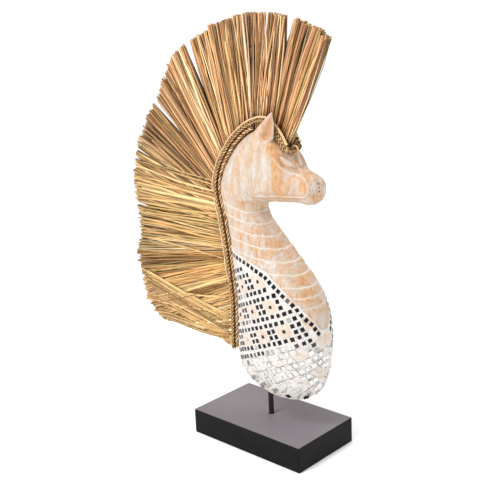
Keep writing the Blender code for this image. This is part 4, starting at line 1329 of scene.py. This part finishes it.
def strawMaterial():
    # stalks from brown at the forehead to yellow, each with its own streaks, painted light and shade across
    # each stalk, painted shade on the inner layers and painted light near the roots
    material, nodes = newMaterial("dry_grass")
    tone = nodes.attribute("tone")
    tint = nodes.attribute("tint")
    share = nodes.attribute("place")
    run = nodes.attribute("run")
    rim = nodes.attribute("rim")
    brown = nodes.ramped(tone, [
        (0.00, (0.13, 0.045, 0.016)), (0.14, (0.26, 0.11, 0.04)), (0.34, (0.47, 0.225, 0.09)),
        (0.56, (0.62, 0.34, 0.145)), (0.78, (0.72, 0.46, 0.22)), (1.00, (0.86, 0.65, 0.41))])
    yellow = nodes.ramped(tone, [
        (0.00, (0.15, 0.07, 0.02)), (0.14, (0.30, 0.155, 0.05)), (0.36, (0.46, 0.26, 0.095)),
        (0.60, (0.58, 0.37, 0.155)), (0.82, (0.68, 0.48, 0.235)), (1.00, (0.82, 0.67, 0.43))])
    colour = nodes.mix(nodes.ramp(share, 0.34, 0.60, "SMOOTHSTEP"), brown, yellow)
    tan = nodes.times(nodes.ramp(share, 0.70, 0.74, "SMOOTHSTEP"),
                      nodes.ramp(share, 0.82, 0.78, "SMOOTHSTEP"))
    colour = nodes.mix(nodes.times(tan, 0.55), colour, (0.70, 0.35, 0.11, 1))
    rosy = nodes.times(nodes.math("LESS_THAN", tint, 0.20), nodes.ramp(share, 0.70, 0.5))
    colour = nodes.mix(nodes.times(rosy, 0.50), colour, (0.46, 0.22, 0.13, 1))
    olive = nodes.math("GREATER_THAN", tint, 0.88)
    colour = nodes.mix(nodes.times(olive, 0.50), colour, (0.34, 0.29, 0.09, 1))
    streaks = nodes.noise(nodes.place(), 900, 3, 0.6)
    lines = nodes.noiseAlong(nodes.times(run, 38.0), 3.0, X=nodes.times(tone, 57.0),
                             Y=nodes.times(tint, 91.0), Z=nodes.times(rim, 1.6))
    shade = nodes.plus(nodes.times(lines, 0.75), nodes.times(streaks, 0.25))
    bright = nodes.plus(0.64, nodes.times(nodes.ramp(shade, 0.32, 0.68), 0.60))
    # painted light: the stalks are lighter near their roots
    bright = nodes.times(bright, nodes.plus(1.0, nodes.times(nodes.ramp(run, 0.10, 0.0), 0.22)))
    # painted shade on the inner layers, painted light on the outer layers, the tips and the end faces
    inner = nodes.plus(0.20, nodes.times(nodes.ramp(nodes.attribute("paintedLight"), 0.30, 0.80), 0.88))
    # painted light and shade: one side of every stalk lighter, the other darker
    edge = nodes.plus(0.30, nodes.times(nodes.ramp(rim, 0.0, 0.60), 1.02))
    colour = nodes.shaded(colour, nodes.times(nodes.times(bright, inner), edge))
    return finished(material, nodes, colour, 0.55, 0.25, relief=(streaks, 0.3, 0.0004))


def cordMaterial(name, stops, scale, gapShade):
    # fibres in shades along their run, with painted shade where they dip between the strands
    material, nodes = newMaterial(name)
    tone = nodes.attribute("tone")
    spot = nodes.place()
    wander = nodes.noiseAlong(nodes.times(nodes.attribute("run"), 150.0), 2.0, X=nodes.times(tone, 31.0))
    value = nodes.plus(nodes.times(wander, 0.5), nodes.times(tone, 0.28))
    value = nodes.plus(value, nodes.times(nodes.noise(spot, scale, 4, 0.65), 0.30))
    colour = nodes.ramped(nodes.ramp(value, 0.28, 0.82), stops)
    # painted shade: the gap colour is mixed in where the fibres dip
    colour = nodes.mix(nodes.ramp(nodes.attribute("out"), 0.15, 0.85), gapShade, colour)
    return finished(material, nodes, colour, 0.7, 0.15, relief=(nodes.noise(spot, 1500, 3, 0.6), 0.4, 0.0004))


def strawPlain():
    material, nodes = newMaterial("binding_stalk")
    speck = nodes.noise(nodes.place(), 500, 3)
    colour = nodes.ramped(speck, [(0.35, (0.40, 0.24, 0.10)), (0.65, (0.70, 0.50, 0.26))])
    return finished(material, nodes, colour, 0.6)


def plinthMaterial(grain):
    # black stain with grain along X, and a paler top, partly dust and partly painted sheen, the reflection of
    # the pale surroundings
    material, nodes = newMaterial("black_stained_wood")
    inputs = {"Vector": nodes.place(), "Rotation": (0, math.pi / 2, 0)}
    turned = nodes.add("ShaderNodeMapping", inputs).outputs["Vector"]
    fibres = nodes.add("ShaderNodeGroup", {"Vector": turned}, node_tree=grain).outputs["Fibres"]
    normal = nodes.add("ShaderNodeNewGeometry").outputs["Normal"]
    upward = nodes.add("ShaderNodeSeparateXYZ", {"Vector": normal}).outputs["Z"]
    # the faces that look up are made paler: dust, and painted sheen
    dustAndSheen = nodes.times(nodes.ramp(upward, 0.4, 1.0), 0.85)
    base = nodes.ramped(fibres, [(0.35, (0.004, 0.004, 0.004)), (0.65, (0.011, 0.010, 0.011))])
    colour = nodes.mix(dustAndSheen, base, (0.226, 0.203, 0.218, 1))
    roughness = nodes.ramp(fibres, -0.6, 1.5)
    return finished(material, nodes, colour, roughness, 0.08, relief=(fibres, 0.22, 0.0004))


def steelMaterial():
    material, nodes = newMaterial("black_steel")
    speck = nodes.noise(nodes.place(), 700, 3)
    colour = nodes.ramped(speck, [(0.4, (0.010, 0.010, 0.011)), (0.7, (0.022, 0.021, 0.022))])
    return finished(material, nodes, colour, nodes.ramp(speck, -0.3, 1.6), 0.25, relief=(speck, 0.15, 0.0002))


def dress(node, material):
    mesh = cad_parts[node].data
    mesh.materials.clear()
    mesh.materials.append(material)


def take(piece, slot, *nodes):
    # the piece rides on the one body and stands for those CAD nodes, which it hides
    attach(piece, "root")
    for node in nodes:
        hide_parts(node)


makeCamera(photoView)
makeStudio(studio)
print("camera and studio")
grain = grainGroup()
horse = makeHorse(limedWood(grain))
take(horse, "limed_wood", "carved_horse")
print("carved wood", len(horse.data.polygons))
table = arcTable()
take(makeGrout(groutMaterial(grain), table), "limed_wood", "carved_horse")
take(makeTiles(mirrorMaterial(), table), "limed_wood", "carved_horse")
print("mosaic")
take(makeMane(strawMaterial()), "dry_grass", "grass_mane")
print("mane")
plaitStops = [(0.00, (0.17, 0.075, 0.025)), (0.20, (0.38, 0.205, 0.08)), (0.45, (0.60, 0.38, 0.18)),
              (0.70, (0.76, 0.54, 0.30)), (1.00, (0.90, 0.74, 0.50))]
twistStops = [(0.00, (0.13, 0.05, 0.015)), (0.24, (0.36, 0.17, 0.055)), (0.46, (0.66, 0.41, 0.19)),
              (0.70, (0.82, 0.58, 0.33)), (1.00, (0.95, 0.82, 0.61))]
plait = cordMaterial("plaited_grass", plaitStops, 180, (0.105, 0.042, 0.012, 1))
take(makeBraid(plait, "plaited_grass", *braidPath()), "plaited_grass", "braided_cord")
take(makeBraid(plait, "forehead_plait", *lowerBraidPath()), "plaited_grass", "braided_cord")
take(makeBindings(plait), "plaited_grass", "braided_cord")
twist = cordMaterial("twisted_cord", twistStops, 150, (0.15, 0.062, 0.018, 1))
for word, piece in zip(("near", "far"), makeEdgeCords(twist)):
    take(piece, "twisted_cord", f"edge_cord_{word}")
dress("forehead_wrap", strawPlain())
dress("plinth", plinthMaterial(grain))
dress("rod", steelMaterial())
print("cords, plinth and rod")

bpy.context.view_layer.update()
